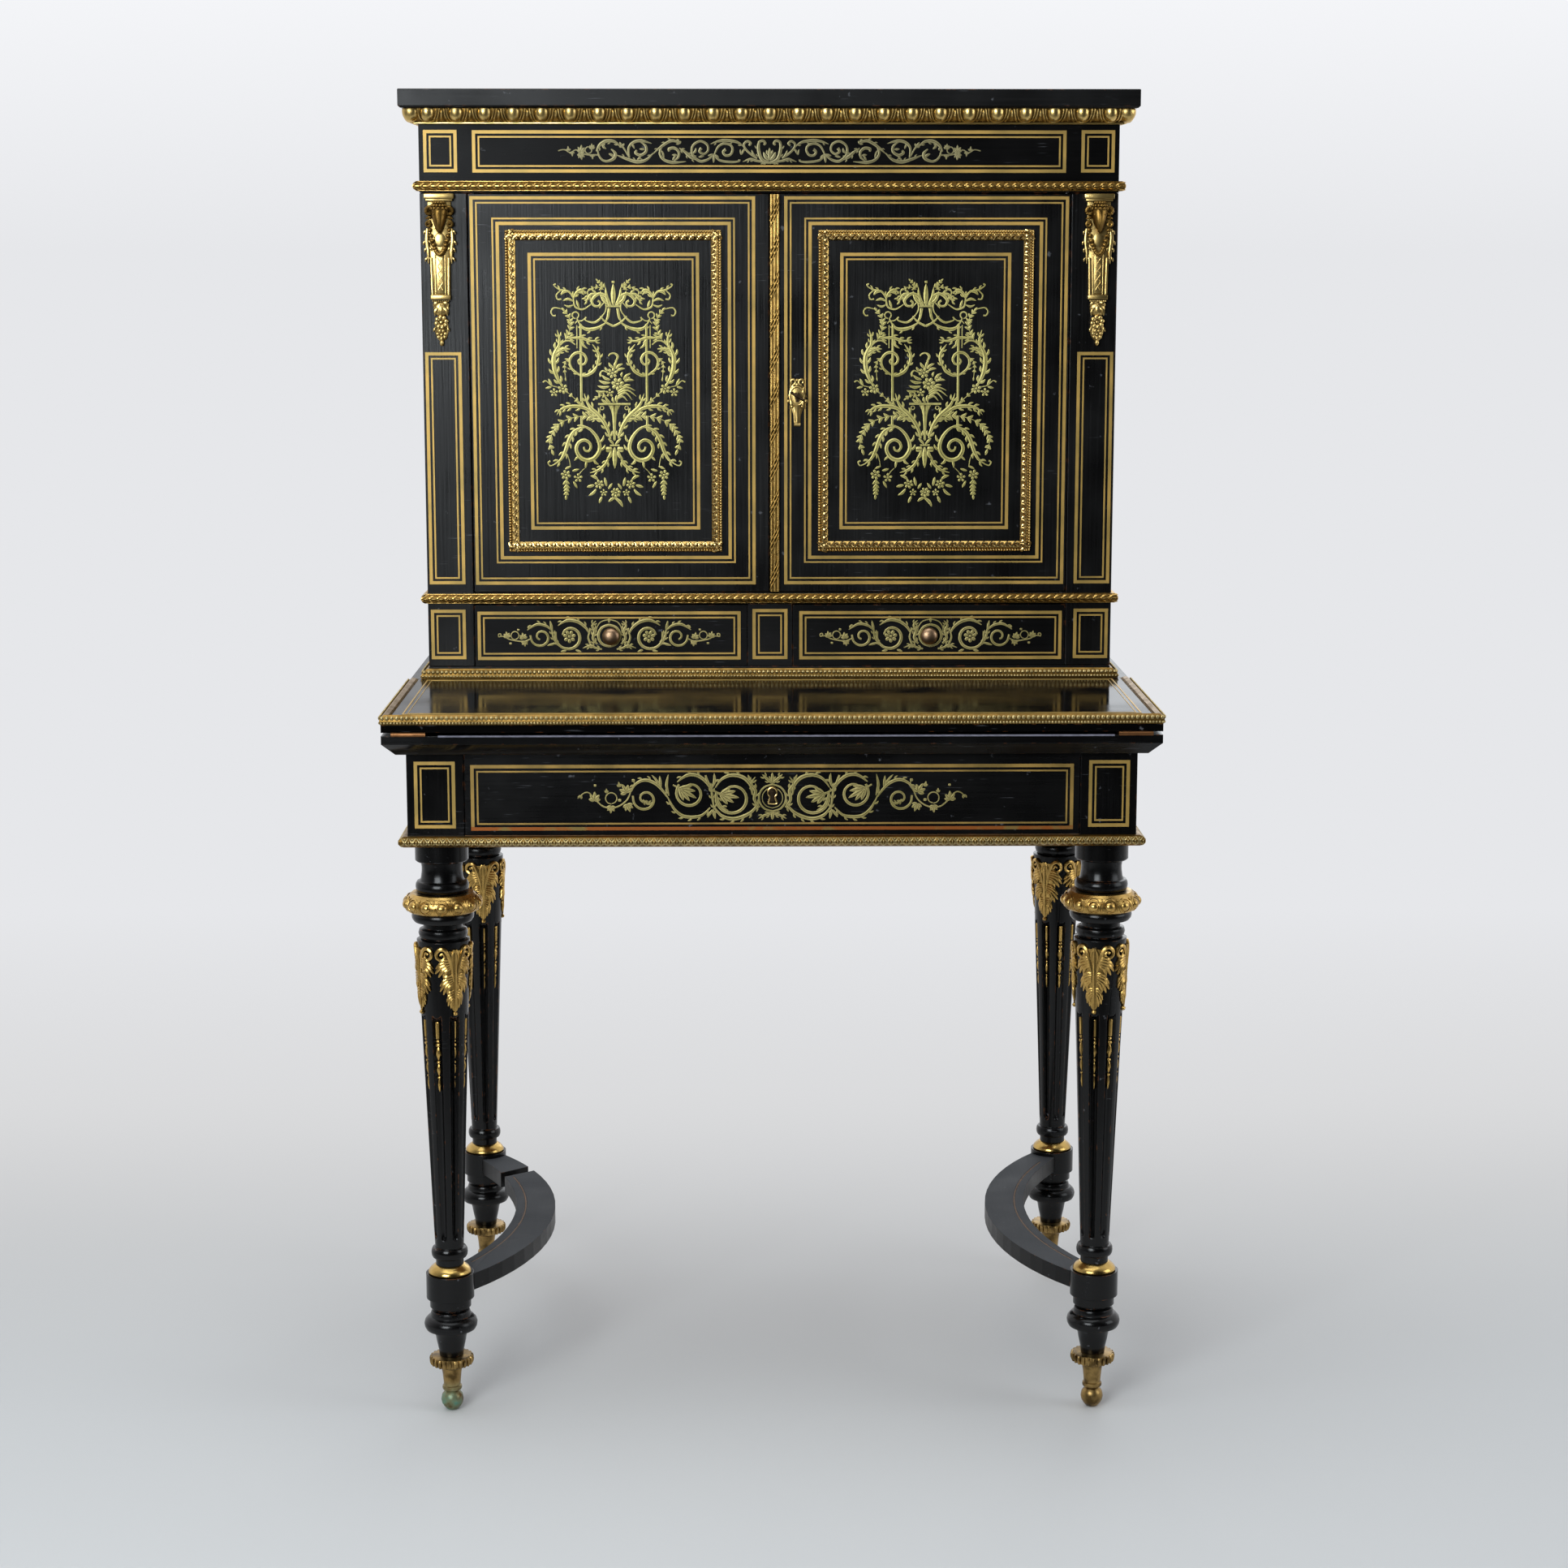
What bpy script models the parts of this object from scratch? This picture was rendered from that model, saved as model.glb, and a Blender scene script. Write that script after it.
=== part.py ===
"""Lady's writing desk with an upper cabinet, ebonised wood with gilt-bronze mounts.

Metres, +Z up, front towards -Y. The origin is on the floor, in the middle of the width and depth.
The table stands on four turned and fluted legs joined by curved side stretchers. Its top is a
leaf that folds forward over the frieze drawer. The cabinet behind has two doors over two drawers.
"""
import math

import bmesh
import bpy
from mathutils import Matrix, Vector

# Fits between pieces
SEAT = 0.0003              # gap between two pieces that rest on each other
PLAY = 0.0012              # gap round a door or a drawer front
EDGE = 0.0007              # softened edge of a board
SMOOTH = math.radians(40)  # edges flatter than this are shaded smooth

# Table
TABLE_W = 0.770
TABLE_D = 0.528
FOOT_H = 0.0598
LEG_L = 0.5416
LEG_INSET = 0.0305         # leg axis to the outer face of the apron
APRON_SIDE_SET = 0.0215    # apron face inside the end of the top
APRON_H = 0.0945
APRON_FRONT_SET = 0.024    # apron face behind the front edge of the top
APRON_BACK_SET = 0.012
APRON_T = 0.022
CORNER_W = 0.057           # front corner blocks, over the legs
CORNER_D = 0.060
APRON_FLOOR_T = 0.0112
APRON_MOULD_H = 0.0110
APRON_MOULD_PROUD = 0.0085
# Sections of the mouldings: share of the projection, share of the height
APRON_SECTION = ((0.45, 0), (0.95, 0.30), (1, 0.60), (0.70, 0.90), (0.40, 1))
SLAB_COVE_H = 0.0122
SLAB_EDGE_H = 0.0083
SLAB_COVE_SET = 0.0125
SLAB_COVE_STEPS = 4
LEAF_GAP = 0.0034          # leaf lies this far above the lower slab, on its hinges
LEAF_T = 0.0155
LEAF_REAR_GAP = 0.0008
LEAF_MOULD_W = 0.0095
LEAF_MOULD_H = 0.0080      # depth of the rebate that holds the moulding
LEAF_MOULD_PROUD = 0.0012
LEAF_MOULD_LIP = 0.0020    # moulding stands this far above the leaf
HINGE_BARREL_R = 0.0022
HINGE_AHEAD = 0.0018       # hinge axis in front of the leaf's front face
HINGE_L = 0.034
HINGE_PLATE_T = 0.0012
HINGE_PLATE_D = 0.018
HINGE_FROM_SIDE = 0.010
HINGE_BARREL_STEPS = 14

# Frieze drawer
FRIEZE_DRAWER_FRONT_T = 0.020
FRIEZE_DRAWER_REAR_GAP = 0.040   # behind the drawer, to the back rail
FRIEZE_DRAWER_SIDE_DROP = 0.012
DRAWER_WALL = 0.009
DRAWER_BOTTOM = 0.006
DRAWER_SIDE_PLAY = 0.0020
RIM_W = 0.0118             # brass rim round the keyhole
RIM_H = 0.0180
RIM_FLARE = 0.85           # foot of the rim, as a share of its width
RIM_STEPS = 14
PLATE_T = 0.0022
PLATE_POINTS = 24
KEYHOLE_R = 0.0032
PIN_SIDES = 12             # facets of pins, pin holes and keyholes

# Upper cabinet
CABINET_SIDE_SET = 0.020   # cabinet's side inside the end of the table's top
CABINET_D = 0.250
CABINET_BOARD = 0.018
BASE_T = 0.0117
BASE_MOULD_H = 0.0100
BASE_MOULD_PROUD = 0.0080
BASE_SECTION = ((1, 0), (1, 0.25), (0.85, 0.60), (0.45, 0.85), (0.30, 1))
STILE_W = 0.0490
STILE_T = 0.025
DIVIDER_W = 0.0476
PARTITION_T = 0.012
SMALL_DRAWER_H = 0.0660
SMALL_DRAWER_FRONT_T = 0.018
SMALL_DRAWER_REAR_GAP = 0.027    # behind a drawer, to the cabinet's back
SMALL_DRAWER_SIDE_DROP = 0.010
CUPBOARD_FLOOR_T = 0.0117
TORUS_H = 0.0102           # laurel mouldings above and below the doors
TORUS_PROUD = 0.0065
TORUS_SECTION = (
    (0.45, 0), (0.45, 0.10), (0.85, 0.22), (1, 0.50), (0.85, 0.78), (0.45, 0.90), (0.45, 1),
)
MID_MOULD_DROP = 0.0107    # top of the cupboard floor to the bottom of its moulding
DOOR_H = 0.417
DOOR_T = 0.020
SHELF_RISE = 0.200
SHELF_T = 0.014
SHELF_SETBACK = 0.048
FRIEZE_H = 0.0857
FRIEZE_MOULD_RISE = 0.0017
CORNICE_H = 0.0160
CORNICE_PROUD = 0.0130
CORNICE_SECTION = ((0.20, 0), (0.25, 0.15), (0.65, 0.30), (0.92, 0.60), (1, 0.88), (1, 1))
TOP_T = 0.0190
TOP_OVERHANG = 0.019
TOP_ROUND = 0.0020         # softened lower edge of the top
BACK_T = 0.011

# Doors and their fittings
MEETING_GAP = 0.0010           # from the meeting line to the edge of each door
PIVOT_IN = 0.0040              # pivot axis from the door's hinge edge
PIVOT_BEHIND = 0.0025          # pivot axis behind the door's face
PIVOT_R = 0.0020
PIVOT_L = 0.0050               # length of the pivot in its hole
PIVOT_CLEAR = 0.0003
BRONZE_RAIL = 0.0104           # applied bronze frame: width of its rails
BRONZE_PROUD = 0.0050
BRONZE_HINGE_MARGIN = 0.0380   # outside of the frame to the edges of the door
BRONZE_MEETING_MARGIN = 0.0502
BRONZE_TOP_MARGIN = 0.0372
BRONZE_FOOT_MARGIN = 0.0434
ASTRAGAL_W = 0.0100
ASTRAGAL_PROUD = 0.0055
ASTRAGAL_STEPS = 8
KEY_FROM_EDGE = 0.0290         # key axis from the meeting line of the doors
KEY_RISE = 0.2080              # key axis above the bottom of the door
DOOR_PLATE_W = 0.0210
DOOR_PLATE_H = 0.0533
DOOR_PLATE_DROP = 0.0060       # middle of the plate below the key axis
DOOR_PLATE_WAIST = 0.35        # share by which the plate is drawn in
KEY_SHANK_R = 0.0024
KEY_SHANK_OUT = 0.0130         # shank in front of the plate
KEY_BOW_R = 0.0095
KEY_BOW_T = 0.0030
KEY_BOW_HOLE_R = 0.0055
KEY_BOW_SIDES = 20
KEY_BOW_BITE = 0.0010          # shank ends this far outside the eye of the bow
KEY_NOSE = 0.0005              # shank in front of the bit
KEY_BIT_R = 0.0070
KEY_BIT_W = 0.0055
LOCK_W = 0.050
LOCK_H = 0.052
LOCK_D = 0.0140
LOCK_WALL = 0.0015
BOLT_L = 0.026
BOLT_H = 0.0090
BOLT_T = 0.0060
BOLT_FROM_KEY = 0.0150         # middle of the bolt above the key axis
KNOB_R = 0.0093
KNOB_OUT = 0.0135
KNOB_SIDES = 16
# Turned knob: share of its projection, share of its radius
KNOB_SECTION = ((0, 0.60), (0.12, 0.60), (0.28, 0.45), (0.42, 0.90), (0.62, 1), (0.85, 0.80), (1, 0.35))

# Stretchers
STRETCHER_T = 0.0175
STRETCHER_SAG = 0.0735         # how far the middle bows in from the leg line
STRETCHER_W = 0.043
STRETCHER_END_W = 0.026
STRETCHER_SWELL = 0.6          # below 1 the bar widens quickly from its ends
STRETCHER_STEPS = 20
STRETCHER_COLUMNS = 7
BREAK_START = 0.80             # share of the left arc at which it has snapped
BREAK_END = 0.835
BREAK_SLANT = 0.020

TERM_OUT = 0.004               # gilt terms stand this far outside the middle of the stiles
TERM_STEPS = 6
# Heads of the gilt terms on the stiles: drop from the top, half width, projection
TERM_SECTIONS = (
    (0.0000, 0.0160, 0.0085), (0.0055, 0.0160, 0.0085), (0.0070, 0.0148, 0.0070),
    (0.0140, 0.0150, 0.0120), (0.0250, 0.0138, 0.0165), (0.0330, 0.0150, 0.0150),
    (0.0400, 0.0135, 0.0110), (0.0620, 0.0142, 0.0095), (0.0760, 0.0138, 0.0080),
    (0.0800, 0.0115, 0.0060), (0.1130, 0.0102, 0.0055), (0.1150, 0.0090, 0.0065),
    (0.1280, 0.0088, 0.0075), (0.1450, 0.0070, 0.0060), (0.1580, 0.0022, 0.0030),
)

# Egg-and-dart collars of the legs
COLLAR_H = 0.0192
COLLAR_R = 0.0404
COLLAR_SPIGOT_R = 0.0220       # neck of the leg inside the collar
COLLAR_GAP = 0.0008            # above the collar
COLLAR_SIDES = 24
# Share of the collar's height, setback from its radius
COLLAR_SECTION = ((0, 0.0080), (0.25, 0.0020), (0.50, 0), (0.75, 0.0025), (1, 0.0105))

# Turned legs, top to bottom. Above the collar: drop below the top of the leg, radius
LEG_HEAD = (
    (0.0000, 0.0268), (0.0180, 0.0268), (0.0195, 0.0213), (0.0300, 0.0205), (0.0392, 0.0225),
    (0.0405, 0.0262), (0.0450, 0.0269), (0.0500, 0.0262), (0.0510, COLLAR_SPIGOT_R),
)
COLLAR_SEAT_DROP = LEG_HEAD[-1][0] + COLLAR_GAP + COLLAR_H + SEAT
# Drop below the seat of the collar, radius, down to the start of the tapered shaft
LEG_NECK = (
    (0.0000, COLLAR_SPIGOT_R), (0.0000, 0.0300), (0.0042, 0.0315), (0.0097, 0.0290), (0.0122, 0.0199),
    (0.0167, 0.0199), (0.0182, 0.0240), (0.0219, 0.0250), (0.0255, 0.0240), (0.0267, 0.0215),
    (0.0286, 0.0268),
)
# Rise above the block that holds the stretcher, radius, from the end of the shaft down
LEG_ANKLE = (
    (0.0279, 0.0147), (0.0273, 0.0179), (0.0223, 0.0187), (0.0175, 0.0176), (0.0163, 0.0142),
    (0.0073, 0.0142), (0.0058, 0.0190), (0.0025, 0.0213), (0.0000, 0.0205),
)
BLOCK_H = 0.0263
BLOCK_R = 0.0246
# Below the block: rise above the bottom of the leg, radius
LEG_TOE = (
    (0.0624, 0.0212), (0.0527, 0.0212), (0.0520, 0.0147), (0.0491, 0.0147), (0.0480, 0.0200),
    (0.0425, 0.0205), (0.0410, 0.0250), (0.0350, 0.0274), (0.0290, 0.0258), (0.0272, 0.0193),
    (0.0150, 0.0150), (0.0000, 0.0124),
)
LEG_SIDES = 16
FLUTES = 8
FLUTE_TOP_DROP = 0.0780        # top of the shaft to the flutes
FLUTE_FOOT_RISE = 0.0100
FLUTE_DEPTH = 0.0026
FLUTE_RUNOUT = 0.0050
# Edges of the land and of the flute's floor, as shares of the pitch
FLUTE_LAND = 0.16
FLUTE_FLOOR = (0.36, 0.64)

# Turned brass feet. Cup: drop below the top of the foot, radius. Ball: height, radius
FOOT_CUP = ((0.0000, 0.0180), (0.0028, 0.0219), (0.0098, 0.0205), (0.0141, 0.0108))
FOOT_BALL = (
    (0.0270, 0.0087), (0.0255, 0.0100), (0.0225, 0.0100), (0.0208, 0.0070), (0.0180, 0.0095),
    (0.0115, 0.0116), (0.0045, 0.0092), (0.0000, 0.0045),
)
FOOT_SIDES = 16

# Places that follow from the sizes
HINGE_PROUD = HINGE_AHEAD + HINGE_BARREL_R
BACK_Y = (TABLE_D + HINGE_PROUD) / 2
FRONT_Y = BACK_Y - TABLE_D
APRON_HALF = TABLE_W / 2 - APRON_SIDE_SET
APRON_Y0 = FRONT_Y + APRON_FRONT_SET
APRON_Y1 = BACK_Y - APRON_BACK_SET
LEG_X = APRON_HALF - LEG_INSET
LEG_Y0 = APRON_Y0 + LEG_INSET
LEG_Y1 = APRON_Y1 - LEG_INSET
LEG_Z0 = FOOT_H + SEAT
LEG_Z1 = LEG_Z0 + LEG_L
BLOCK_Z0 = LEG_Z0 + LEG_TOE[0][0]
BLOCK_Z1 = BLOCK_Z0 + BLOCK_H
COLLAR_SEAT_Z = LEG_Z1 - COLLAR_SEAT_DROP
APRON_Z0 = LEG_Z1 + SEAT
APRON_Z1 = APRON_Z0 + APRON_H
APRON_FLOOR_Z1 = APRON_Z0 + APRON_FLOOR_T
SLAB_Z0 = APRON_Z1 + SEAT
SLAB_Z1 = SLAB_Z0 + SLAB_COVE_H + SLAB_EDGE_H
LEAF_Z0 = SLAB_Z1 + LEAF_GAP
LEAF_Z1 = LEAF_Z0 + LEAF_T
HINGE_Y = FRONT_Y - HINGE_AHEAD
HINGE_Z = SLAB_Z1 + LEAF_GAP / 2

CABINET_HALF = TABLE_W / 2 - CABINET_SIDE_SET
CABINET_Y0 = BACK_Y - CABINET_D
CABINET_BACK_Y0 = BACK_Y - BACK_T
REAR_BOARD_Y0 = CABINET_Y0 - BASE_MOULD_PROUD
LEAF_Y1 = REAR_BOARD_Y0 - LEAF_REAR_GAP
BASE_Z0 = LEAF_Z1 + SEAT
BASE_Z1 = BASE_Z0 + BASE_T
CUPBOARD_Z0 = BASE_Z1 + SEAT + SMALL_DRAWER_H + PLAY
CUPBOARD_Z1 = CUPBOARD_Z0 + CUPBOARD_FLOOR_T
DOOR_Z0 = CUPBOARD_Z1 + PLAY
DOOR_Z1 = DOOR_Z0 + DOOR_H
FRIEZE_Z0 = DOOR_Z1 + PLAY
FRIEZE_Z1 = FRIEZE_Z0 + FRIEZE_H
TOP_Z0 = FRIEZE_Z1 + SEAT
TOP_Z1 = TOP_Z0 + TOP_T
OPENING_HALF = CABINET_HALF - STILE_W
SIDE_INNER = CABINET_HALF - CABINET_BOARD
BEHIND_STILE_Y = CABINET_Y0 + STILE_T + SEAT
DOOR_EDGE = OPENING_HALF - PLAY            # hinge edge of a door
PIVOT_X = DOOR_EDGE - PIVOT_IN
PIVOT_Y = CABINET_Y0 + PIVOT_BEHIND
KEY_Z = DOOR_Z0 + KEY_RISE
SIDES = (("left", -1), ("right", 1))


def clear_scene():
    """Start from an empty scene."""
    for item in list(bpy.data.objects):
        bpy.data.objects.remove(item, do_unlink=True)


def make_material(name, color, roughness, metallic):
    """A Principled material with the finish's plain colour."""
    material = bpy.data.materials.new(name)
    material.use_nodes = True
    shader = material.node_tree.nodes["Principled BSDF"]
    shader.inputs["Base Color"].default_value = (*color, 1)
    shader.inputs["Roughness"].default_value = roughness
    shader.inputs["Metallic"].default_value = metallic
    material.diffuse_color = (*color, 1)
    return material


def make_pivot(name, place):
    """An empty on a joint's axis, which carries the pieces that move with it."""
    pivot = bpy.data.objects.new(name, None)
    pivot.location = place
    pivot.empty_display_size = 0.02
    bpy.context.scene.collection.objects.link(pivot)
    return pivot


def add_object(name, bm, material, pivot=None, edge=0.0, smooth_angle=None):
    """Turn a mesh drawn in place into an object on its pivot or on its own base."""
    bmesh.ops.recalc_face_normals(bm, faces=bm.faces)
    if pivot is None:
        corners = [v.co for v in bm.verts]
        low = Vector([min(c[i] for c in corners) for i in range(3)])
        high = Vector([max(c[i] for c in corners) for i in range(3)])
        place = Vector(((low.x + high.x) / 2, (low.y + high.y) / 2, low.z))
    else:
        place = pivot.location.copy()
    bmesh.ops.translate(bm, verts=bm.verts, vec=-place)
    mesh = bpy.data.meshes.new(name)
    bm.to_mesh(mesh)
    bm.free()
    mesh.materials.append(material)
    if smooth_angle is not None:
        mesh.shade_smooth()
        mesh.set_sharp_from_angle(angle=smooth_angle)
    item = bpy.data.objects.new(name, mesh)
    bpy.context.scene.collection.objects.link(item)
    if pivot is None:
        item.location = place
    else:
        item.parent = pivot
    if edge:
        bevel = item.modifiers.new("softened_edges", "BEVEL")
        bevel.width = edge
        bevel.segments = 1
        bevel.limit_method = "ANGLE"
    return item


def join_with(item, bm, operation, pivot=None):
    """Add a shape to an object, or cut it away, with a hidden helper."""
    helper = add_object(item.name + "_" + operation.lower(), bm, item.data.materials[0], pivot)
    helper.hide_render = True
    helper.display_type = "WIRE"
    boolean = item.modifiers.new(helper.name, "BOOLEAN")
    boolean.operation = operation
    boolean.solver = "EXACT"
    boolean.object = helper
    return item


def box(x, y, z):
    """A block between pairs of x, y and z."""
    bm = bmesh.new()
    bmesh.ops.create_cube(bm, size=1)
    size = Vector((x[1] - x[0], y[1] - y[0], z[1] - z[0]))
    middle = Vector((x[0] + x[1], y[0] + y[1], z[0] + z[1])) / 2
    bmesh.ops.scale(bm, vec=size, verts=bm.verts)
    bmesh.ops.translate(bm, vec=middle, verts=bm.verts)
    return bm


def cylinder(middle, axis, radius, length, sides):
    """A round bar centred on a point, along the X, Y or Z axis."""
    bm = bmesh.new()
    bmesh.ops.create_cone(bm, cap_ends=True, segments=sides, radius1=radius, radius2=radius, depth=length)
    if axis == "X":
        bmesh.ops.rotate(bm, verts=bm.verts, matrix=Matrix.Rotation(math.pi / 2, 3, "Y"))
    if axis == "Y":
        bmesh.ops.rotate(bm, verts=bm.verts, matrix=Matrix.Rotation(math.pi / 2, 3, "X"))
    bmesh.ops.translate(bm, vec=Vector(middle), verts=bm.verts)
    return bm


def prism(points, low, high, axis="Z"):
    """An outline drawn across an axis and extruded along it; points are in the other two axes' order."""
    bm = bmesh.new()
    place = {
        "X": lambda a, b, c: (c, a, b),
        "Y": lambda a, b, c: (a, c, b),
        "Z": lambda a, b, c: (a, b, c),
    }[axis]
    face = bm.faces.new([bm.verts.new(place(a, b, low)) for a, b in points])
    grown = bmesh.ops.extrude_face_region(bm, geom=[face])
    moved = [v for v in grown["geom"] if isinstance(v, bmesh.types.BMVert)]
    bmesh.ops.translate(bm, verts=moved, vec=Vector(place(0, 0, high - low)))
    return bm


def skin(bm, rings, closed_ends=True):
    """Join rings of the same number of points into a tube, capped at both ends."""
    count = len(rings[0])
    for lower, upper in zip(rings, rings[1:]):
        for i in range(count):
            j = (i + 1) % count
            bm.faces.new((lower[i], lower[j], upper[j], upper[i]))
    if closed_ends:
        bm.faces.new(rings[0])
        bm.faces.new(rings[-1])
    return bm


def rect_stack(layers):
    """A board with a moulded edge: rectangles of half width, front, back and height, joined in turn."""
    bm = bmesh.new()
    rings = []
    for half, front, back, z in layers:
        corners = ((-half, front), (half, front), (half, back), (-half, back))
        rings.append([bm.verts.new((x, y, z)) for x, y in corners])
    return skin(bm, rings)


def around_front(profile, half, front, back):
    """A moulding round the front and both ends: profile of offset and height, mitred at the corners."""
    bm = bmesh.new()
    rings = []
    for side_x, at_front in ((-1, False), (-1, True), (1, True), (1, False)):
        ring = []
        for offset, z in profile:
            y = front - offset if at_front else back
            ring.append(bm.verts.new((side_x * (half + offset), y, z)))
        rings.append(ring)
    return skin(bm, rings)


def picture_frame(profile, middle_x, middle_z, half_w, half_h, face_y):
    """A mitred frame on a face: profile of inset from its outside and projection from the face."""
    bm = bmesh.new()
    rings = []
    for side_x, side_z in ((-1, -1), (1, -1), (1, 1), (-1, 1)):
        ring = []
        for inset, proud in profile:
            x = middle_x + side_x * (half_w - inset)
            z = middle_z + side_z * (half_h - inset)
            ring.append(bm.verts.new((x, face_y - proud, z)))
        rings.append(ring)
    return skin(bm, rings + rings[:1], closed_ends=False)


def circle_points(count, radius, z, centre):
    """Points of a turned ring."""
    points = []
    for i in range(count):
        angle = math.tau * i / count
        points.append((centre[0] + radius * math.cos(angle), centre[1] + radius * math.sin(angle), z))
    return points


def section(shape, low, height, proud):
    """Section of a moulding from its shares, closed along the face behind it."""
    front = [(across * proud, low + up * height) for across, up in shape]
    return [(SEAT, low)] + front + [(SEAT, low + height)]


def fluted_points(radius, z, centre):
    """Points of a fluted ring, four to a flute: the two edges of the land and the floor of the flute."""
    points = []
    pitch = math.tau / FLUTES
    edges = ((-FLUTE_LAND, 0), (FLUTE_LAND, 0), (FLUTE_FLOOR[0], FLUTE_DEPTH), (FLUTE_FLOOR[1], FLUTE_DEPTH))
    for flute in range(FLUTES):
        for share, depth in edges:
            angle = pitch * (flute + share)
            reach = radius - depth
            points.append((centre[0] + reach * math.cos(angle), centre[1] + reach * math.sin(angle), z))
    return points


def turned(profile, centre, sides):
    """A solid of revolution from heights and radii."""
    bm = bmesh.new()
    rings = []
    for z, radius in profile:
        rings.append([bm.verts.new(p) for p in circle_points(sides, radius, z, centre)])
    return skin(bm, rings)


def turned_ring(profile, centre, sides):
    """A ring of revolution: its closed section goes once round the axis."""
    bm = bmesh.new()
    rings = []
    for i in range(sides):
        angle = math.tau * i / sides
        ring = []
        for z, radius in profile:
            ring.append(bm.verts.new((
                centre[0] + radius * math.cos(angle), centre[1] + radius * math.sin(angle), z)))
        rings.append(ring)
    return skin(bm, rings + rings[:1], closed_ends=False)


def widen(bm, plain, fluted):
    """Join a plain ring to a fluted one with twice its points."""
    count = len(plain)
    for i in range(count):
        j = (i + 1) % count
        a, b, c = fluted[2 * i], fluted[2 * i + 1], fluted[(2 * i + 2) % (2 * count)]
        bm.faces.new((plain[i], a, b))
        bm.faces.new((plain[i], b, plain[j]))
        bm.faces.new((plain[j], b, c))


def build_leg(name, centre, material):
    """One turned leg: moulded head, tapered fluted shaft, and moulded ankle."""
    bm = bmesh.new()

    def plain_ring(z, radius):
        return [bm.verts.new(p) for p in circle_points(LEG_SIDES, radius, z, centre)]

    head = [plain_ring(LEG_Z1 - drop, radius) for drop, radius in LEG_HEAD]
    head += [plain_ring(COLLAR_SEAT_Z - drop, radius) for drop, radius in LEG_NECK]
    ankle = [plain_ring(BLOCK_Z1 + rise, radius) for rise, radius in LEG_ANKLE]
    ankle += [plain_ring(z, BLOCK_R) for z in (BLOCK_Z1, BLOCK_Z0)]
    ankle += [plain_ring(LEG_Z0 + rise, radius) for rise, radius in LEG_TOE]
    shaft_top = COLLAR_SEAT_Z - LEG_NECK[-1][0]
    shaft_foot = BLOCK_Z1 + LEG_ANKLE[0][0]

    def shaft_radius(z):
        share = (z - shaft_foot) / (shaft_top - shaft_foot)
        return LEG_ANKLE[0][1] + share * (LEG_NECK[-1][1] - LEG_ANKLE[0][1])

    high = shaft_top - FLUTE_TOP_DROP
    low = shaft_foot + FLUTE_FOOT_RISE
    start = plain_ring(high, shaft_radius(high))
    end = plain_ring(low, shaft_radius(low))
    fluted = []
    for z in (high - FLUTE_RUNOUT, low + FLUTE_RUNOUT):
        fluted.append([bm.verts.new(p) for p in fluted_points(shaft_radius(z), z, centre)])
    skin(bm, head + [start], closed_ends=False)
    widen(bm, start, fluted[0])
    skin(bm, fluted, closed_ends=False)
    widen(bm, end, fluted[1])
    skin(bm, [end] + ankle, closed_ends=False)
    bm.faces.new(head[0])
    bm.faces.new(ankle[-1])
    return add_object(name, bm, material, smooth_angle=SMOOTH)


def build_legs(wood, bronze, brass):
    """Four legs, each with its bronze egg-and-dart collar and its brass foot."""
    low = COLLAR_SEAT_Z + SEAT
    bore = COLLAR_SPIGOT_R + SEAT
    collar = [(low, bore)]
    collar += [(low + up * COLLAR_H, COLLAR_R - setback) for up, setback in COLLAR_SECTION]
    collar.append((low + COLLAR_H, bore))
    foot = [(FOOT_H - drop, radius) for drop, radius in FOOT_CUP] + list(FOOT_BALL)
    for end, y in (("front", LEG_Y0), ("rear", LEG_Y1)):
        for side, sign in SIDES:
            corner = end + "_" + side
            centre = (sign * LEG_X, y)
            build_leg("leg_" + corner, centre, wood)
            ring = turned_ring(collar, centre, COLLAR_SIDES)
            add_object("collar_" + corner, ring, bronze, smooth_angle=SMOOTH)
            add_object("foot_" + corner, turned(foot, centre, FOOT_SIDES), brass, smooth_angle=SMOOTH)


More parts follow.
